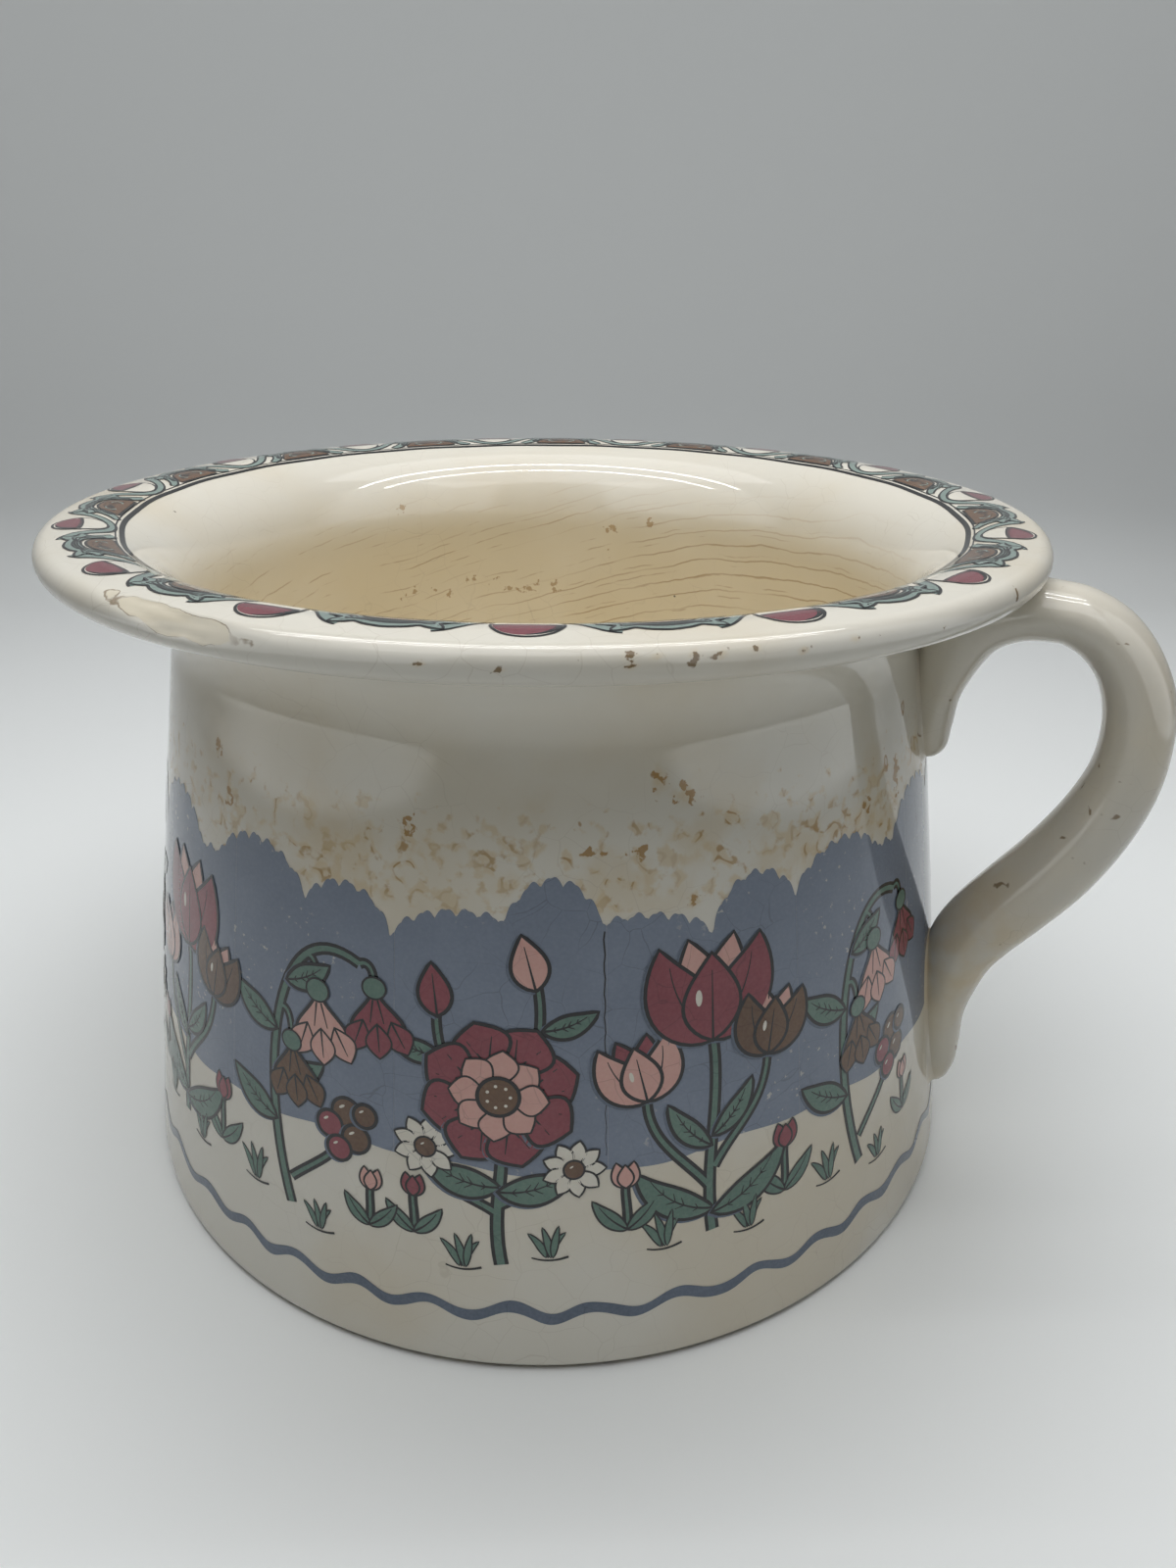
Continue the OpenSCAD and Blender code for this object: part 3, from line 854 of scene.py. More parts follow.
def spine(x, y, length, turn, bend):
    """Points along a leaf that bends evenly, with the direction at each."""
    line = []
    way = turn - bend / 2
    for _ in range(LEAF_STEPS + 1):
        line.append((x, y, way))
        x, y = polar(x, y, length / LEAF_STEPS, way)
        way += bend / LEAF_STEPS
    return line


def petal(x, y, length, width, turn, fullness, bend):
    """A leaf or petal from a base point: fullness over 1 is widest near the tip, under 1 near the base."""
    left, right = [], []
    for i, (px, py, way) in enumerate(spine(x, y, length, turn, bend)):
        half = width / 2 * sin(pi * (i / LEAF_STEPS) ** fullness)
        left.append(polar(px, py, half, way + UP))
        right.append(polar(px, py, -half, way + UP))
    return right + left[-2:0:-1]


def bezier(a, b, c, d, points=18):
    line = []
    for i in range(points + 1):
        t = i / points
        s = 1 - t
        line.append(tuple(s ** 3 * p + 3 * s * s * t * q + 3 * s * t * t * r + t ** 3 * v
                          for p, q, r, v in zip(a, b, c, d)))
    return line


def left_of(before, after):
    """Direction to the left of the way from one point to another."""
    dx, dy = after[0] - before[0], after[1] - before[1]
    length = max(hypot(dx, dy), TINY)
    return -dy / length, dx / length


def centre_of(outline):
    return tuple(sum(values) / len(outline) for values in zip(*outline))


def grown(outline, by):
    """An outline with each point moved away from the shape."""
    cx, cy = centre_of(outline)
    result = []
    for i, (x, y) in enumerate(outline):
        nx, ny = left_of(outline[i - 1], outline[(i + 1) % len(outline)])
        side = by if nx * (x - cx) + ny * (y - cy) > 0 else -by
        result.append((x + side * nx, y + side * ny))
    return result


def beside(line, start, end):
    """A line moved to its left, by an amount that changes evenly from its start to its end."""
    last = len(line) - 1
    result = []
    for i, (x, y) in enumerate(line):
        nx, ny = left_of(line[max(i - 1, 0)], line[min(i + 1, last)])
        by = start + (end - start) * i / last
        result.append((x + by * nx, y + by * ny))
    return result


class Print:
    """Shapes of one printed piece, each with a colour and a layer."""

    def __init__(self, place, cell):
        self.place = place
        self.cell = cell
        self.vertices = []
        self.normals = []
        self.faces = []
        self.slots = []
        self.names = []

    def add(self, points, faces, colour, layer):
        start = len(self.vertices)
        for x, y in points:
            p, n = self.place(x, y, PRINT_LIFT + LAYER_LIFT * layer)
            self.vertices.append(p)
            self.normals.append(n)
        if colour not in self.names:
            self.names.append(colour)
        self.faces += [tuple(start + i for i in face) for face in faces]
        self.slots += [self.names.index(colour)] * len(faces)

    def fill(self, outline, colour, layer):
        """A filled outline, as rings about its middle so that it follows the wall."""
        count = len(outline)
        if sum(a[0] * b[1] - b[0] * a[1] for a, b in zip(outline, outline[1:] + outline[:1])) < 0:
            outline = outline[::-1]
        centre = centre_of(outline)
        rings = max(1, ceil(max(dist(p, centre) for p in outline) / self.cell))
        spokes = [straight(centre, p, rings) for p in outline]
        points = [centre] + [spoke[r] for r in range(1, rings + 1) for spoke in spokes]
        rows = [range(1 + r * count, 1 + (r + 1) * count) for r in range(rings)]
        self.add(points, ring_faces(rows[::-1] + [[0] * count]), colour, layer)

    def shape(self, outline, colour, layer, line=INK_LINE, fringe=False):
        """A filled outline with an ink line round it, and a blue edge where the colours didn't meet."""
        inked = grown(outline, line)
        if fringe:
            self.fill([(x - FRINGE, y - FRINGE_DOWN) for x, y in inked], "blue", layer)
        self.fill(inked, "ink", layer + 1)
        self.fill(outline, colour, layer + 2)

    def band(self, right, left, colour, layer, steps=3):
        """The space between two lines with the same number of points."""
        points = [p for ends in zip(right, left) for p in straight(*ends, steps)]
        self.add(points, sheet_faces(len(right), steps + 1), colour, layer)

    def ribbon(self, line, start_w, end_w, colour, layer):
        """A line with a width that changes evenly along it."""
        right, left = beside(line, -start_w / 2, -end_w / 2), beside(line, start_w / 2, end_w / 2)
        self.band(right, left, colour, layer, 1)

    def disc(self, x, y, r, colour, layer, line=INK_LINE, fringe=False):
        self.shape(ellipse(x, y, r, r), colour, layer, line, fringe)

    def leaf(self, x, y, length, width, turn, colour, layer, fullness, bend=0.0, line=INK_LINE, vein=True,
             fringe=False):
        self.shape(petal(x, y, length, width, turn, fullness, bend), colour, layer, line, fringe)
        if vein:
            middle = [(px, py) for px, py, _ in spine(x, y, VEIN_SHARE * length, turn, bend)]
            self.ribbon(middle, 0.5, 0.16, "ink", layer + 3)

    def side_veins(self, x, y, length, width, turn, bend, layer):
        """Short strokes from a leaf's spine toward its edges."""
        line = spine(x, y, VEIN_SHARE * length, turn, bend)
        for k in (3, 6, 8, 11):
            px, py, way = line[k]
            reach = 0.34 * width * sin(pi * k / (LEAF_STEPS - 1))
            for lean in (-0.75, 0.75):
                self.ribbon([(px, py), polar(px, py, reach, way + lean)], 0.3, 0.14, "ink", layer)

    def stem(self, line, width=1.0):
        edges = 2 * INK_LINE
        self.ribbon(line, width + edges, width * 0.7 + edges, "ink", STEM_LAYER)
        self.ribbon(line, width, width * 0.7, "green", STEM_LAYER + 1)

    def shine(self, x, y, size, turn, layer):
        """A small light stroke."""
        self.fill(ellipse(x, y, size, 0.4 * size, turn, 12), "white", layer)

    def piece(self, name, slot, node, colours):
        materials = [colours[colour] for colour in self.names]
        piece = new_piece(name, self.vertices, self.faces, node, materials, self.slots)
        piece.data.normals_split_custom_set_from_vertices(self.normals)


def on_wall_at(angle):
    """Places a flat point on the wall, with x measured from an angle."""
    def place(x, y, lift):
        r = wall_r(y)
        a = angle + x / r
        tilt = wall_tilt(y)
        normal = Vector((cos(a) * cos(tilt), sin(a) * cos(tilt), sin(tilt)))
        return Vector((r * cos(a), r * sin(a), y)) + normal * lift, normal
    return place


def rim_top(r):
    """Height of the rim's upper face at a radius, and the angle its normal leans outward."""
    if r < MOUTH_R:
        lean = asin((r - MOUTH_R) / THROAT_R)
        return THROAT_Z + THROAT_R * cos(lean), lean
    if r < EDGE_U:
        fall = FLANGE_DROP / (EDGE_U - MOUTH_R)
        return POT_H - fall * (r - MOUTH_R), atan(fall)
    lean = asin((r - EDGE_U) / EDGE_R)
    return EDGE_Z + EDGE_R * cos(lean), lean


def on_rim_at(angle):
    """Places a flat point on the rim, with x along the rim and y outward, a little off the pot's middle."""
    def place(x, y, lift):
        a = angle - x / BORDER_MIDDLE
        r = BORDER_IN + y + BORDER_SHIFT * cos(a - BORDER_SHIFT_ANGLE)
        z, lean = rim_top(r)
        normal = Vector((cos(a) * sin(lean), sin(a) * sin(lean), cos(lean)))
        return Vector((r * cos(a), r * sin(a), z)) + normal * lift, normal
    return place


def hedge_top(angle):
    """Height of the slate band's top edge: round crowns of uneven height with a leafy edge."""
    crowns = 2 * STRIPS
    best = BAND_HIGH - 5
    here = angle / tau * crowns
    for k in range(floor(here) - 1, floor(here) + 3):
        seed = k % crowns
        rise = 6 + 8 * (0.5 + 0.5 * sin(seed * 2.4 + 0.7))
        middle = k + 0.5 + 0.18 * sin(seed * 1.7)
        half = 0.62 + 0.14 * sin(seed * 3.1)
        d = (here - middle) / half
        if abs(d) < 1:
            best = max(best, BAND_HIGH - 5 + rise * sqrt(1 - d * d))
    return best + 1.3 * abs(sin(angle * 75)) + 0.5 * abs(sin(angle * 137 + 1))


def hedge_foot(angle):
    """Height of the band's lower edge, which wavers."""
    return BAND_LOW + 1.2 * sin(angle * 7) + 0.5 * sin(angle * 23 + 1)


def slate_band(drawing, angle):
    """The slate ground of one strip."""
    half = (STRIP_ANGLE - SEAM_ANGLE) / 2
    points = []
    for i in range(BAND_COLUMNS + 1):
        a = half * (2 * i / BAND_COLUMNS - 1)
        low, high = hedge_foot(angle + a), hedge_top(angle + a)
        for k in range(BAND_ROWS + 1):
            y = low + (high - low) * k / BAND_ROWS
            points.append((a * wall_r(y), y))
    drawing.add(points, sheet_faces(BAND_COLUMNS + 1, BAND_ROWS + 1), "slate", 0)


def section_seam(drawing, angle):
    """The dark line where one section of the print meets the next, at a strip's end."""
    end = STRIP_ANGLE / 2
    low, high = hedge_foot(angle + end) + 3, hedge_top(angle + end) - 1
    seam = []
    for k in range(BAND_ROWS + 1):
        y = high + (low - high) * k / BAND_ROWS
        seam.append((end * wall_r(y) - 0.4 + 0.12 * sin(1.3 * y), y))
    drawing.ribbon(seam, 0.32, 0.1, "ink", 1)


def rosette(drawing, x, y, reach, petals, outer, inner):
    """A round flower with two rows of petals and a dotted middle."""
    for i in range(petals):
        a = tau * i / petals + 0.3
        layer = FLOWER_LAYER + 2 * i
        drawing.leaf(*polar(x, y, 0.2 * reach, a), 0.8 * reach, 0.7 * reach, a, outer, layer, 1.6, vein=False,
                     fringe=True)
        for lean in (-0.2, 0.2):
            stroke = [polar(x, y, 0.55 * reach, a + 0.5 * lean), polar(x, y, 0.82 * reach, a + lean)]
            drawing.ribbon(stroke, 0.4, 0.15, "ink", layer + 3)
    layer = FLOWER_LAYER + 2 * petals + 2
    for i in range(petals):
        a = tau * (i + 0.5) / petals + 0.3
        drawing.leaf(*polar(x, y, 0.1 * reach, a), 0.52 * reach, 0.4 * reach, a, inner, layer + 2 * i, 1.4,
                     line=FINE_LINE, vein=False)
    layer += 2 * petals + 2
    drawing.disc(x, y, 0.24 * reach, "brown", layer)
    for i in range(7):
        spot = ellipse(*polar(x, y, 0.15 * reach, tau * i / 7), 0.32, 0.32, points=10)
        drawing.fill(spot, "white", layer + 3)


def tulip(drawing, x, y, size, turn, outer, inner):
    """A cup of petals seen from the side."""
    layer = FLOWER_LAYER
    for side in (-1, 1):
        drawing.leaf(x, y, 1.12 * size, 0.5 * size, turn + 0.22 * side, inner, layer + 1 + side, 0.95,
                     vein=False, fringe=True)
    for side in (-1, 1):
        drawing.leaf(x, y, 1.2 * size, 0.62 * size, turn + 0.46 * side, outer, layer + 4 + side, 0.85,
                     -0.75 * side, fringe=True)
    drawing.leaf(x, y, 0.92 * size, 0.6 * size, turn, outer, layer + 8, 0.78)
    drawing.shine(*polar(x, y, 0.5 * size, turn + 0.3), 0.09 * size, turn, layer + 12)


def bell(drawing, x, y, size, turn, colour):
    """A hanging bell flower with a frilled mouth."""
    layer = FLOWER_LAYER
    drawing.leaf(x, y, size, 0.86 * size, turn, colour, layer, 1.7, vein=False, fringe=True)
    for i, lean in enumerate((-0.42, 0.42, 0.0)):
        a = turn + lean
        drawing.leaf(*polar(x, y, 0.6 * size, a), 0.54 * size, 0.4 * size, a, colour, layer + 2 + 2 * i, 1.1,
                     line=FINE_LINE)
    for a in (turn - 0.2, turn + 0.2):
        drawing.ribbon([polar(x, y, 0.2 * size, a), polar(x, y, 0.58 * size, a)], 0.4, 0.2, "ink", layer + 4)
    drawing.shape(ellipse(x, y, 0.18 * size, 0.16 * size), "green", layer + 10, FINE_LINE)


def daisy(drawing, x, y, reach):
    petals = 9
    for i in range(petals):
        drawing.leaf(x, y, reach, 0.46 * reach, tau * i / petals, "white", FLOWER_LAYER + i, 1.4,
                     line=FINE_LINE, vein=False)
    layer = FLOWER_LAYER + petals
    drawing.disc(x, y, 0.3 * reach, "brown", layer + 3, FINE_LINE)
    drawing.shine(x - 0.08 * reach, y + 0.1 * reach, 0.07 * reach, 0.6, layer + 6)


def tuft(drawing, x, y, size):
    """A few blades of grass, with a stroke of ground under them."""
    for i, lean in enumerate((-0.6, 0.55, -0.25, 0.15)):
        drawing.leaf(x + 0.45 * i - 0.7, y, size * (1 - 0.2 * abs(lean)), 0.16 * size, UP - lean, "green",
                     STEM_LAYER + 2 * i, 0.8, -lean, GRASS_LINE, vein=False)
    ground = bezier((x - 3.4, y - 0.2), (x - 1, y - 1), (x + 1, y - 1), (x + 3.6, y))
    drawing.ribbon(ground, 0.3, 0.5, "ink", STEM_LAYER)


def sprout(drawing, x, y, size, colour):
    """A low plant with one bud between two leaves."""
    bud_y = y + 0.62 * size
    line = bezier((x, y), (x + 0.4, y + 0.3 * size), (x - 0.4, y + 0.5 * size), (x, y + 0.66 * size))
    drawing.stem(line, 0.7)
    for side in (-1, 1):
        drawing.leaf(x, y, 0.62 * size, 0.2 * size, UP - 0.75 * side, "green", STEM_LAYER + 2 + side, 0.8,
                     0.5 * side, FINE_LINE)
    for side in (-1, 1):
        drawing.leaf(x, bud_y, 0.36 * size, 0.2 * size, UP - 0.3 * side, colour, STEM_LAYER + 6 + side, 0.8,
                     0.4 * side, FINE_LINE, vein=False)
    drawing.leaf(x, bud_y, 0.3 * size, 0.18 * size, UP, colour, STEM_LAYER + 10, 0.8, line=FINE_LINE,
                 vein=False)


def leaves(drawing, rows, wide):
    """Large veined leaves: place, length, direction and bend of each."""
    for i, (x, y, length, turn, bend) in enumerate(rows):
        layer = LEAF_LAYER + 2 * i
        drawing.leaf(x, y, length, wide * length, turn, "green", layer, 0.85, bend, fringe=True)
        drawing.side_veins(x, y, length, wide * length, turn, bend, layer + 4)


def tulip_spray(drawing):
    drawing.stem(bezier((-0.5, 38), (-6, 46), (-13, 50), (-12.5, 60)))
    drawing.stem(bezier((0.5, 42), (5, 50), (12, 52), (12.2, 64)))
    drawing.stem(bezier((0, GROUND_Z - 2), (-2, 44), (2.5, 56), (0.4, 70)), 1.4)
    leaves(drawing, ((0, 33, 19, 2.5, -0.9), (0, 32, 20, 0.6, 0.9), (0.4, 49, 13, 0.9, 0.7),
                     (-0.2, 47, 13, 2.25, -0.6)), 0.3)
    tulip(drawing, 0.4, 69, 18, UP, "red", "pink")
    tulip(drawing, -12.5, 59, 11.5, UP + 0.2, "pink", "red")
    tulip(drawing, 12.2, 63, 11.5, UP - 0.15, "brown", "pink")
    tuft(drawing, -10, GROUND_Z - 3, 8)
    tuft(drawing, 8, GROUND_Z - 4, 7)
    sprout(drawing, -17, GROUND_Z + 2, 15, "pink")
    sprout(drawing, 16.5, GROUND_Z + 1, 16, "red")


def rosette_bush(drawing):
    drawing.stem(bezier((0.4, GROUND_Z - 5), (-2, 38), (2, 46), (0, 58)), 1.5)
    drawing.stem(bezier((0, 36), (-5, 40), (-12, 40), (-13.5, 47)))
    drawing.stem(bezier((0, 38), (6, 42), (11, 40), (13.5, 44)))
    drawing.stem(bezier((0, 52), (6, 64), (9, 74), (6.5, 84)), 0.9)
    drawing.stem(bezier((0, 52), (-9, 62), (-12, 70), (-11, 78)), 0.9)
    leaves(drawing, ((0, 42, 15, 2.85, -0.7), (0, 41, 15, 0.3, 0.7), (8, 74, 10, 0.35, 0.6),
                     (-10.5, 68, 10, 2.9, -0.6)), 0.38)
    rosette(drawing, 0, 61, 14.5, 8, "red", "pink")
    daisy(drawing, -13.8, 49, 6.2)
    daisy(drawing, 13.8, 46, 5.8)
    drawing.leaf(6.5, 82, 10, 6, UP + 0.25, "pink", FLOWER_LAYER, 0.75, fringe=True)
    drawing.leaf(-11, 76, 9.5, 5.6, UP + 0.1, "red", FLOWER_LAYER, 0.75, fringe=True)
    tuft(drawing, -7, GROUND_Z - 6, 7.5)
    tuft(drawing, 9.5, GROUND_Z - 3, 7)
    sprout(drawing, -16.5, GROUND_Z, 13, "red")


def bell_branch(drawing):
    main = bezier((-3, GROUND_Z - 3), (-13, 56), (-6, 92), (12, 83), 30)
    drawing.stem(main, 1.4)
    leafy = []
    for i, side, length in ((6, -1, 14), (9, 1, 14), (13, -1, 13), (18, 1, 11)):
        leafy.append((*main[i], length, UP - 1.05 * side, 0.5 * side))
    leaves(drawing, leafy, 0.4)
    for i, size, drop, colour in ((15, 12, 6, "brown"), (22, 13, 6, "pink"), (30, 12, 4, "red")):
        x, y = main[i]
        drawing.stem(bezier((x, y), (x + 1.5, y + 1), (x + 3, y), (x + 3.2, y - drop)), 0.7)
        bell(drawing, x + 3.2, y - drop, size, 0.12 - UP, colour)
    drawing.stem(bezier((-3, 33), (4, 40), (9, 42), (10, 50)), 0.8)
    berries = ((10, 52, 2.8), (6.4, 48.6, 2.5), (12.2, 47, 2.6), (8.6, 44, 2.3), (14, 52.4, 2.1))
    for i, (x, y, r) in enumerate(berries):
        layer = LEAF_LAYER + 1 + 2 * i
        drawing.disc(x, y, r, "red" if i % 2 else "brown", layer, fringe=True)
        drawing.shine(x - 0.35 * r, y + 0.4 * r, 0.26 * r, 0.6, layer + 4)
    tuft(drawing, -13, GROUND_Z - 2, 8)
    tuft(drawing, 4, GROUND_Z - 6, 6.5)
    sprout(drawing, 15.5, GROUND_Z - 1, 13, "pink")


def frieze(colours):
    """The printed strips, three designs in turn round the pot. The strip behind the handle is bare."""
    designs = (rosette_bush, tulip_spray, bell_branch)
    for i in range(STRIPS):
        angle = i * STRIP_ANGLE
        drawing = Print(on_wall_at(angle), WALL_CELL)
        slate_band(drawing, angle)
        if i % SECTION_STRIPS == SECTION_LAST:
            section_seam(drawing, angle)
        if i:
            designs[i % len(designs)](drawing)
        drawing.piece(f"frieze_print_{i + 1}", "frieze_print", f"frieze_strip_{i + 1}", colours)


def dome(x, half_w, high, base):
    """Half of an oval that stands on a level."""
    angles = [pi * i / DOME_STEPS for i in range(DOME_STEPS + 1)]
    return [(x + half_w * cos(a), base + high * sin(a)) for a in angles]


def border_egg(drawing):
    """An egg of the border: white within, rose without, in a cup of ribbon."""
    for side in (-1, 1):
        cup = bezier((side * 13.4, 10.2), (side * 8.6, 9.4), (side * 8.4, 1.9), (0, 1.7))
        drawing.ribbon(cup, 2.0 + 2 * BORDER_INK, 1.0 + 2 * BORDER_INK, "ink", 2)
        drawing.ribbon(cup, 2.0, 1.0, "sage", 3)
    egg = dome(0, 5.0, -4.4, 7.0) + dome(0, 5.2, 5.2, 7.0)[::-1]
    drawing.shape(egg[1:-1], "white", 4, BORDER_INK)
    drawing.fill(dome(0.2, 4.9, 4.7, 7.3), "rose", 7)
    drawing.ribbon(bezier((-5.0, 7.6), (-2.6, 6.9), (2.6, 6.9), (5.0, 7.6)), 1.0, 0.6, "ink", 8)
    drawing.ribbon(bezier((-4.9, 7.6), (-4.2, 10.2), (-2.4, 11.6), (0, 11.8)), 1.2, 0.3, "ink", 8)


# Half of a leaf on the border, from its foot to its middle: the collar's outer and inner lines, and the heart
COLLAR_OUTER = [
    (-12.2, 1.6), (-10.3, 2.9), (-8.9, 4.4), (-8.4, 5.9), (-9.9, 7.0), (-8.2, 7.4), (-7.3, 8.3), (-8.3, 10.3),
    (-6.3, 9.9), (-4.9, 9.3), (-3.3, 10.0), (-1.6, 10.4), (0.0, 10.6),
]
COLLAR_INNER = [
    (-11.2, 1.2), (-9.3, 1.9), (-8.0, 2.9), (-7.2, 3.9), (-6.7, 4.8), (-6.2, 5.6), (-5.7, 6.3), (-5.1, 6.9),
    (-4.3, 7.4), (-3.3, 7.8), (-2.2, 8.0), (-1.1, 8.1), (0.0, 8.15),
]
HEART = [(-7.4, 1.9), (-6.3, 3.4), (-5.1, 4.9), (-3.8, 6.0), (-2.0, 6.6), (0.0, 6.8)]


def both_halves(half, x):
    """A soft line about a middle, from the points of its first half."""
    points = [(x + px, py) for px, py in half] + [(x - px, py) for px, py in half[-2::-1]]
    return through(points, BORDER_STEPS)


def border_leaf(drawing, x):
    """A leaf of the border: a brown heart in a striped collar with two pointed lobes at each shoulder."""
    drawing.shape(both_halves(HEART, x), "brown", 4, BORDER_INK)
    for i in range(1, 8):
        a = pi * i / 8
        wave = 0.35 * sin(5 * i)
        line = [(x + (r + wave) * cos(a), 1.9 + 0.8 * r * sin(a)) for r in (0.8, 2.2, 3.6, 5.2)]
        drawing.ribbon(line, 1.3, 0.7, "ink", 7)
    for side in (-1, 1):
        ends = ((1.2, 2.6), (4.6, 3.0), (4.4, 5.0), (2.2, 5.2))
        vine = bezier(*((x + side * px, py) for px, py in ends))
        drawing.ribbon(vine, 0.5, 0.3, "sage", 8)
    outer, inner = both_halves(COLLAR_OUTER, x), both_halves(COLLAR_INNER, x)
    edges = beside(inner, -BORDER_INK, -BORDER_INK), beside(outer, BORDER_INK, BORDER_INK)
    drawing.band(*edges, "ink", 9)
    drawing.band(inner, outer, "sage", 10)
    for share, width in ((0.5, 0.4), (0.68, 0.35), (0.86, 0.35)):
        stripe = [tuple(p + (q - p) * share for p, q in zip(*ends)) for ends in zip(outer, inner)]
        drawing.ribbon(stripe[5:-5], width, width, "ink", 11)


def rim_border(colours):
    """The border on the rim, with a dark line along its inner edge and a thin one beside it."""
    drawing = Print(on_rim_at(0.0), RIM_CELL)
    edge = []
    for i in range(RIM_STEPS + 1):
        a = tau * i / RIM_STEPS
        edge.append((a * BORDER_MIDDLE, 0.1 * sin(23 * a)))
    drawing.ribbon(edge, 1.0, 1.0, "ink", 1)
    drawing.ribbon([(x, y + 1.15) for x, y in edge], 0.3, 0.3, "ink", 1)
    for k in range(BORDER_REPEATS):
        drawing.place = on_rim_at(BORDER_PHASE + tau * k / BORDER_REPEATS)
        border_egg(drawing)
        border_leaf(drawing, pi * BORDER_MIDDLE / BORDER_REPEATS)
    drawing.piece("border_print", "border_print", "rim_border", colours)


def foot_wave(colours):
    """The wavy line near the foot, painted with a brush that presses unevenly."""
    drawing = Print(on_wall_at(0.0), WALL_CELL)
    steps = WAVES * WAVE_STEPS
    points = []
    for i in range(steps + 1):
        a = tau * (i % steps) / steps
        waver, press, swell = (noise.noise(Vector((r * cos(a), r * sin(a), z)))
                               for r, z in ((3, 0.4), (16, 2.7), (9, 5.1)))
        rise = WAVE_RISE * (1 + 0.5 * swell)
        middle = WAVE_Z + rise * sin(WAVES * a + 1.6 * waver) + 0.6 * cos(a + 0.5)
        half = WAVE_LINE / 2 * (1 + 0.3 * press)
        for y in (middle - half, middle, middle + half):
            points.append((tau * i / steps * wall_r(y), y))
    drawing.add(points, sheet_faces(steps + 1, 3), "blue", 1)
    drawing.piece("wave_line", "wave_print", "foot_wave", colours)


# The camera stands where the photograph was taken from. Lengths are in millimetres, and the lens is given by
# its focal length in pixels of a 1200 by 1600 frame
CAMERA_TURN = radians(24)
CAMERA_BACK = 246.6
CAMERA_UP = 194.7
CAMERA_PITCH = radians(25.14)
CAMERA_YAW = radians(2.11)
CAMERA_ROLL = radians(0.61)
FOCAL_PX = 1109
FRAME_LONG_PX = 1600
SENSOR_MM = 36
CLIP_NEAR = 0.01


def camera():
    level = Vector((sin(CAMERA_YAW), cos(CAMERA_YAW), 0))
    forward = level * cos(CAMERA_PITCH) - Vector((0, 0, sin(CAMERA_PITCH)))
    right = Vector((cos(CAMERA_YAW), -sin(CAMERA_YAW), 0))
    up = right.cross(forward)
    level_right = right * cos(CAMERA_ROLL) + up * sin(CAMERA_ROLL)
    level_up = up * cos(CAMERA_ROLL) - right * sin(CAMERA_ROLL)
    axes = Matrix((level_right, level_up, -forward)).transposed().to_4x4()
    place = Matrix.Translation(Vector((0, -CAMERA_BACK, CAMERA_UP)) * MM)
    data = bpy.data.cameras.new("camera")
    data.sensor_width = SENSOR_MM
    data.lens = FOCAL_PX / FRAME_LONG_PX * SENSOR_MM
    data.clip_start = CLIP_NEAR
    view = add_object("camera", data)
    view.matrix_world = Matrix.Rotation(CAMERA_TURN, 4, "Z") @ place @ axes
    bpy.context.scene.camera = view


# The studio, in metres: a floor that turns up into a backdrop, and the lights
SWEEP_FLAT = 0.9
SWEEP_BEND = 0.6
SWEEP_HIGH = 2.2
SWEEP_COLUMNS = 128
PAPER_ROUGHNESS = 0.9
# Strength of the painted reflection that the glaze shows of the paper at the sides
SIDE_GLOW = 1.4
WORLD_LIGHT = 0.38

# Name, place, target, size and watts of each light, with x to the camera's right and y away from it
LIGHTS = [
    ("top_box", (0, -0.1, 1.0), (0, 0, 0.1), (1.1, 1.0), 5.5),
    ("tube_near", (0, -0.03, 0.52), (0, 0, 0.1), (0.6, 0.01), 0.45),
    ("tube_far", (0, 0.05, 0.52), (0, 0, 0.1), (0.6, 0.01), 0.45),
    ("back_box", (0, 0.5, 1.05), (0, 1.5, 1.0), (1.8, 0.3), 6.8),
]


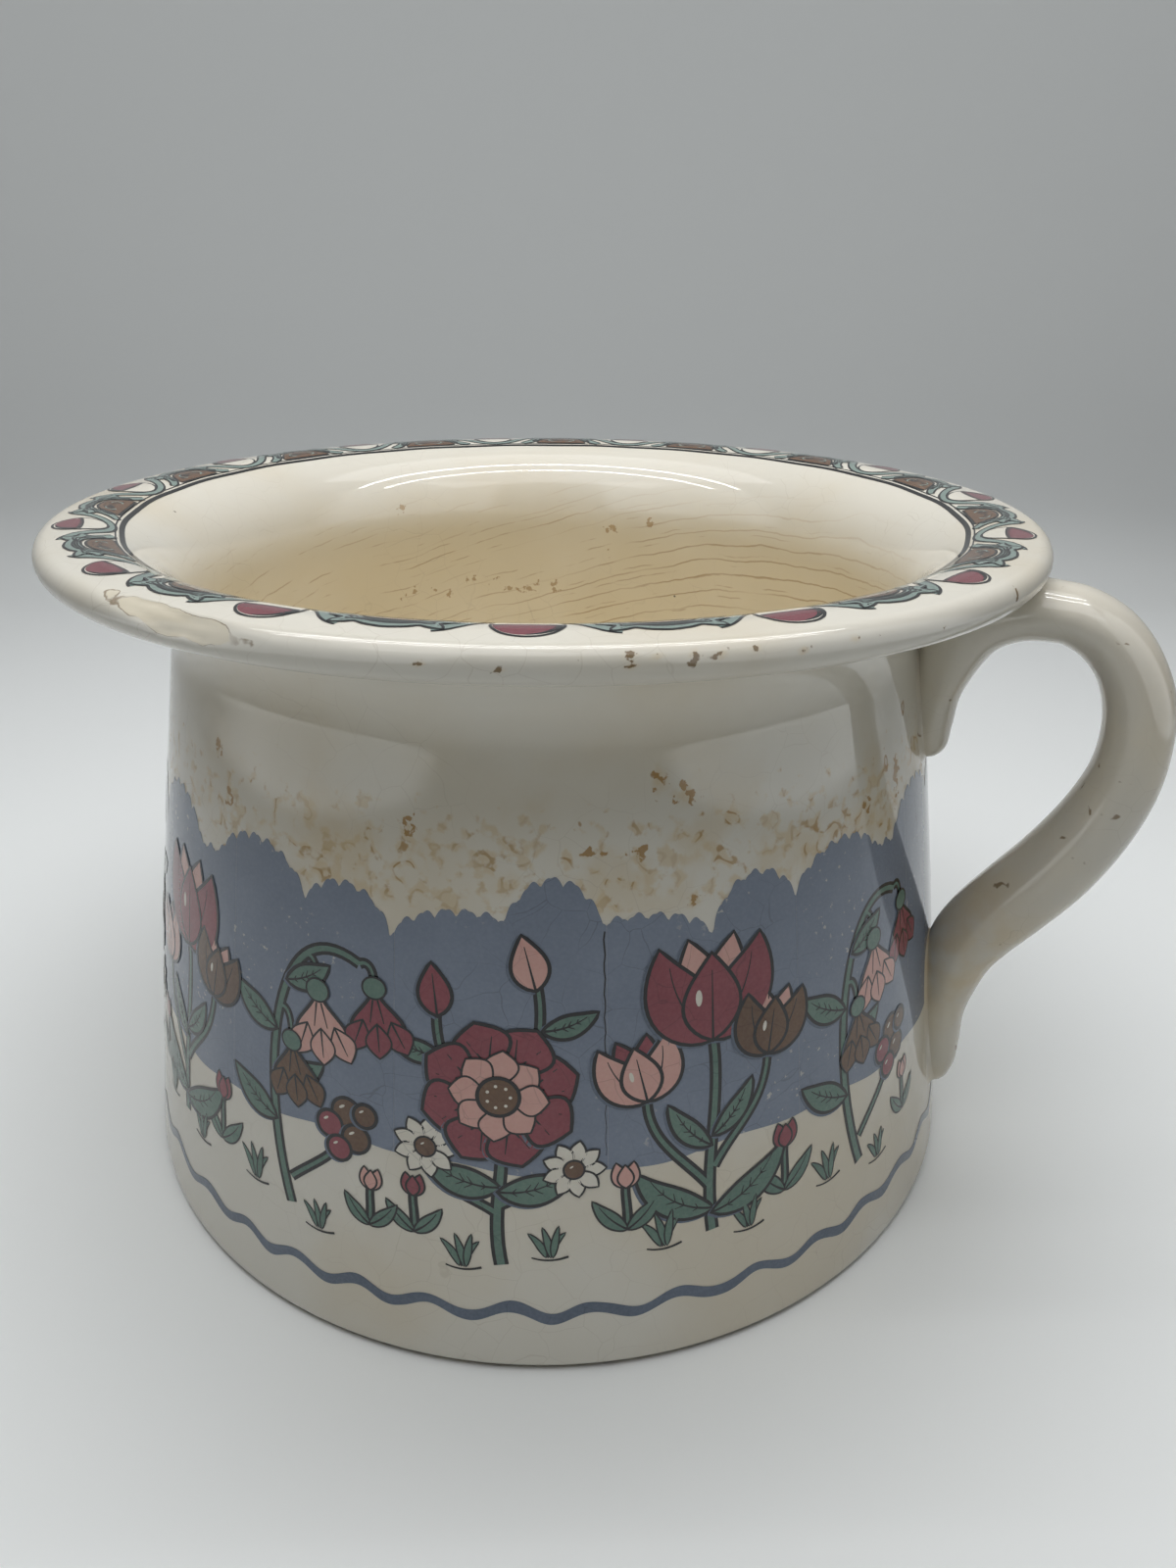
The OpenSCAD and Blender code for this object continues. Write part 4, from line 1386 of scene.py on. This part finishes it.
def sweep_paper():
    """Paper, pale under the pot and greyer up the backdrop, the grey being painted shade. Light bouncing onto
    the pot sees darker paper under it, in front and at the sides, which paints shade onto the pot, and the
    glaze mirrors a glow at the sides, a painted reflection."""
    shader = Shader("sweep_paper", PAPER)
    level = shader.vector("MULTIPLY", shader.place, (1, 1, 0))["Vector"]
    away = shader.vector("LENGTH", level)["Value"]
    ahead = shader.along(CAMERA_TURN - pi / 2)
    across = shader.math("ABSOLUTE", shader.along(CAMERA_TURN))
    rays = shader.node("ShaderNodeLightPath", {})
    mirrored = rays["Is Glossy Ray"]
    unseen = shader.math("SUBTRACT", 1.0, shader.math("MAXIMUM", rays["Is Camera Ray"], mirrored))
    # For light bouncing onto the pot, the paper in front and at the sides is darker: painted shade on the pot
    backdrop = shader.mix(shader.times(shader.step(ahead, 0.5, 1.3), unseen), FAR_PAPER_SHADE, FRONT_BOUNCE_SHADE)
    backdrop = shader.mix(shader.times(shader.step(across, 0.5, 1.0), unseen), backdrop, SIDE_BOUNCE_SHADE)
    # Bounce light sees darker paper under the pot: painted shade on the pot
    shader.lay(UNDER_BOUNCE_SHADE, unseen)
    # Away from the pot, the greyer paper the camera sees is painted shade on the backdrop
    shader.lay(backdrop, shader.step(away, 0.35, 1.2))
    # At the sides the paper glows in the glaze's reflections only: a painted reflection
    glow = shader.times(shader.step(across, 0.5, 0.62), shader.step(ahead, -0.2, 0.1), mirrored, SIDE_GLOW)
    shader.put(shader.bsdf["Emission Color"], PAPER)
    shader.put(shader.bsdf["Emission Strength"], glow)
    return shader.finish(PAPER_ROUGHNESS)


def sweep():
    """A pale floor that turns up into a plain backdrop all round the pot."""
    section = [(0.0, 0.0), (0.3, 0.0), (0.6, 0.0)]
    section += arc(SWEEP_FLAT, SWEEP_BEND, SWEEP_BEND, -90, 0, 24)
    section.append((SWEEP_FLAT + SWEEP_BEND, SWEEP_HIGH))
    vertices, faces, _ = turned([(r, z, "sweep") for r, z in section], SWEEP_COLUMNS)
    paper = add_object("sweep", smooth_mesh("sweep", vertices, faces, [sweep_paper()]))


def lights():
    """Soft light from above, thin tubes that draw the highlights, and a weak light on the backdrop."""
    turn = Matrix.Rotation(CAMERA_TURN, 4, "Z")
    for name, place, target, size, watts in LIGHTS:
        lamp = bpy.data.lights.new(name, "AREA")
        lamp.shape = "RECTANGLE"
        lamp.size, lamp.size_y = size
        lamp.energy = watts
        place, target = turn @ Vector(place), turn @ Vector(target)
        light = add_object(name, lamp)
        light.location = place
        light.rotation_euler = (target - place).to_track_quat("-Z", "Y").to_euler()
    world = bpy.data.worlds.new("studio")
    world.use_nodes = True
    background = world.node_tree.nodes["Background"].inputs
    background["Color"].default_value = (1.0, 1.0, 1.0, 1.0)
    background["Strength"].default_value = WORLD_LIGHT
    bpy.context.scene.world = world


camera()
lights()
sweep()
body()
rings = strap_rings()
handle(rings)
# The slip shares the handle's cream, made darker as painted shade
slip_glaze = handle_glaze("slip_glaze")
luting("upper_slip", "upper_luting", rings[: len(rings) // 2], slip_glaze)
luting("lower_slip", "lower_luting", rings[len(rings) // 2:], slip_glaze)
colours = {name: print_colour(f"{name}_print", *row) for name, row in PRINT_COLOURS.items()}
frieze(colours)
rim_border(colours)
foot_wave(colours)

bpy.context.scene.view_settings.view_transform = "Standard"
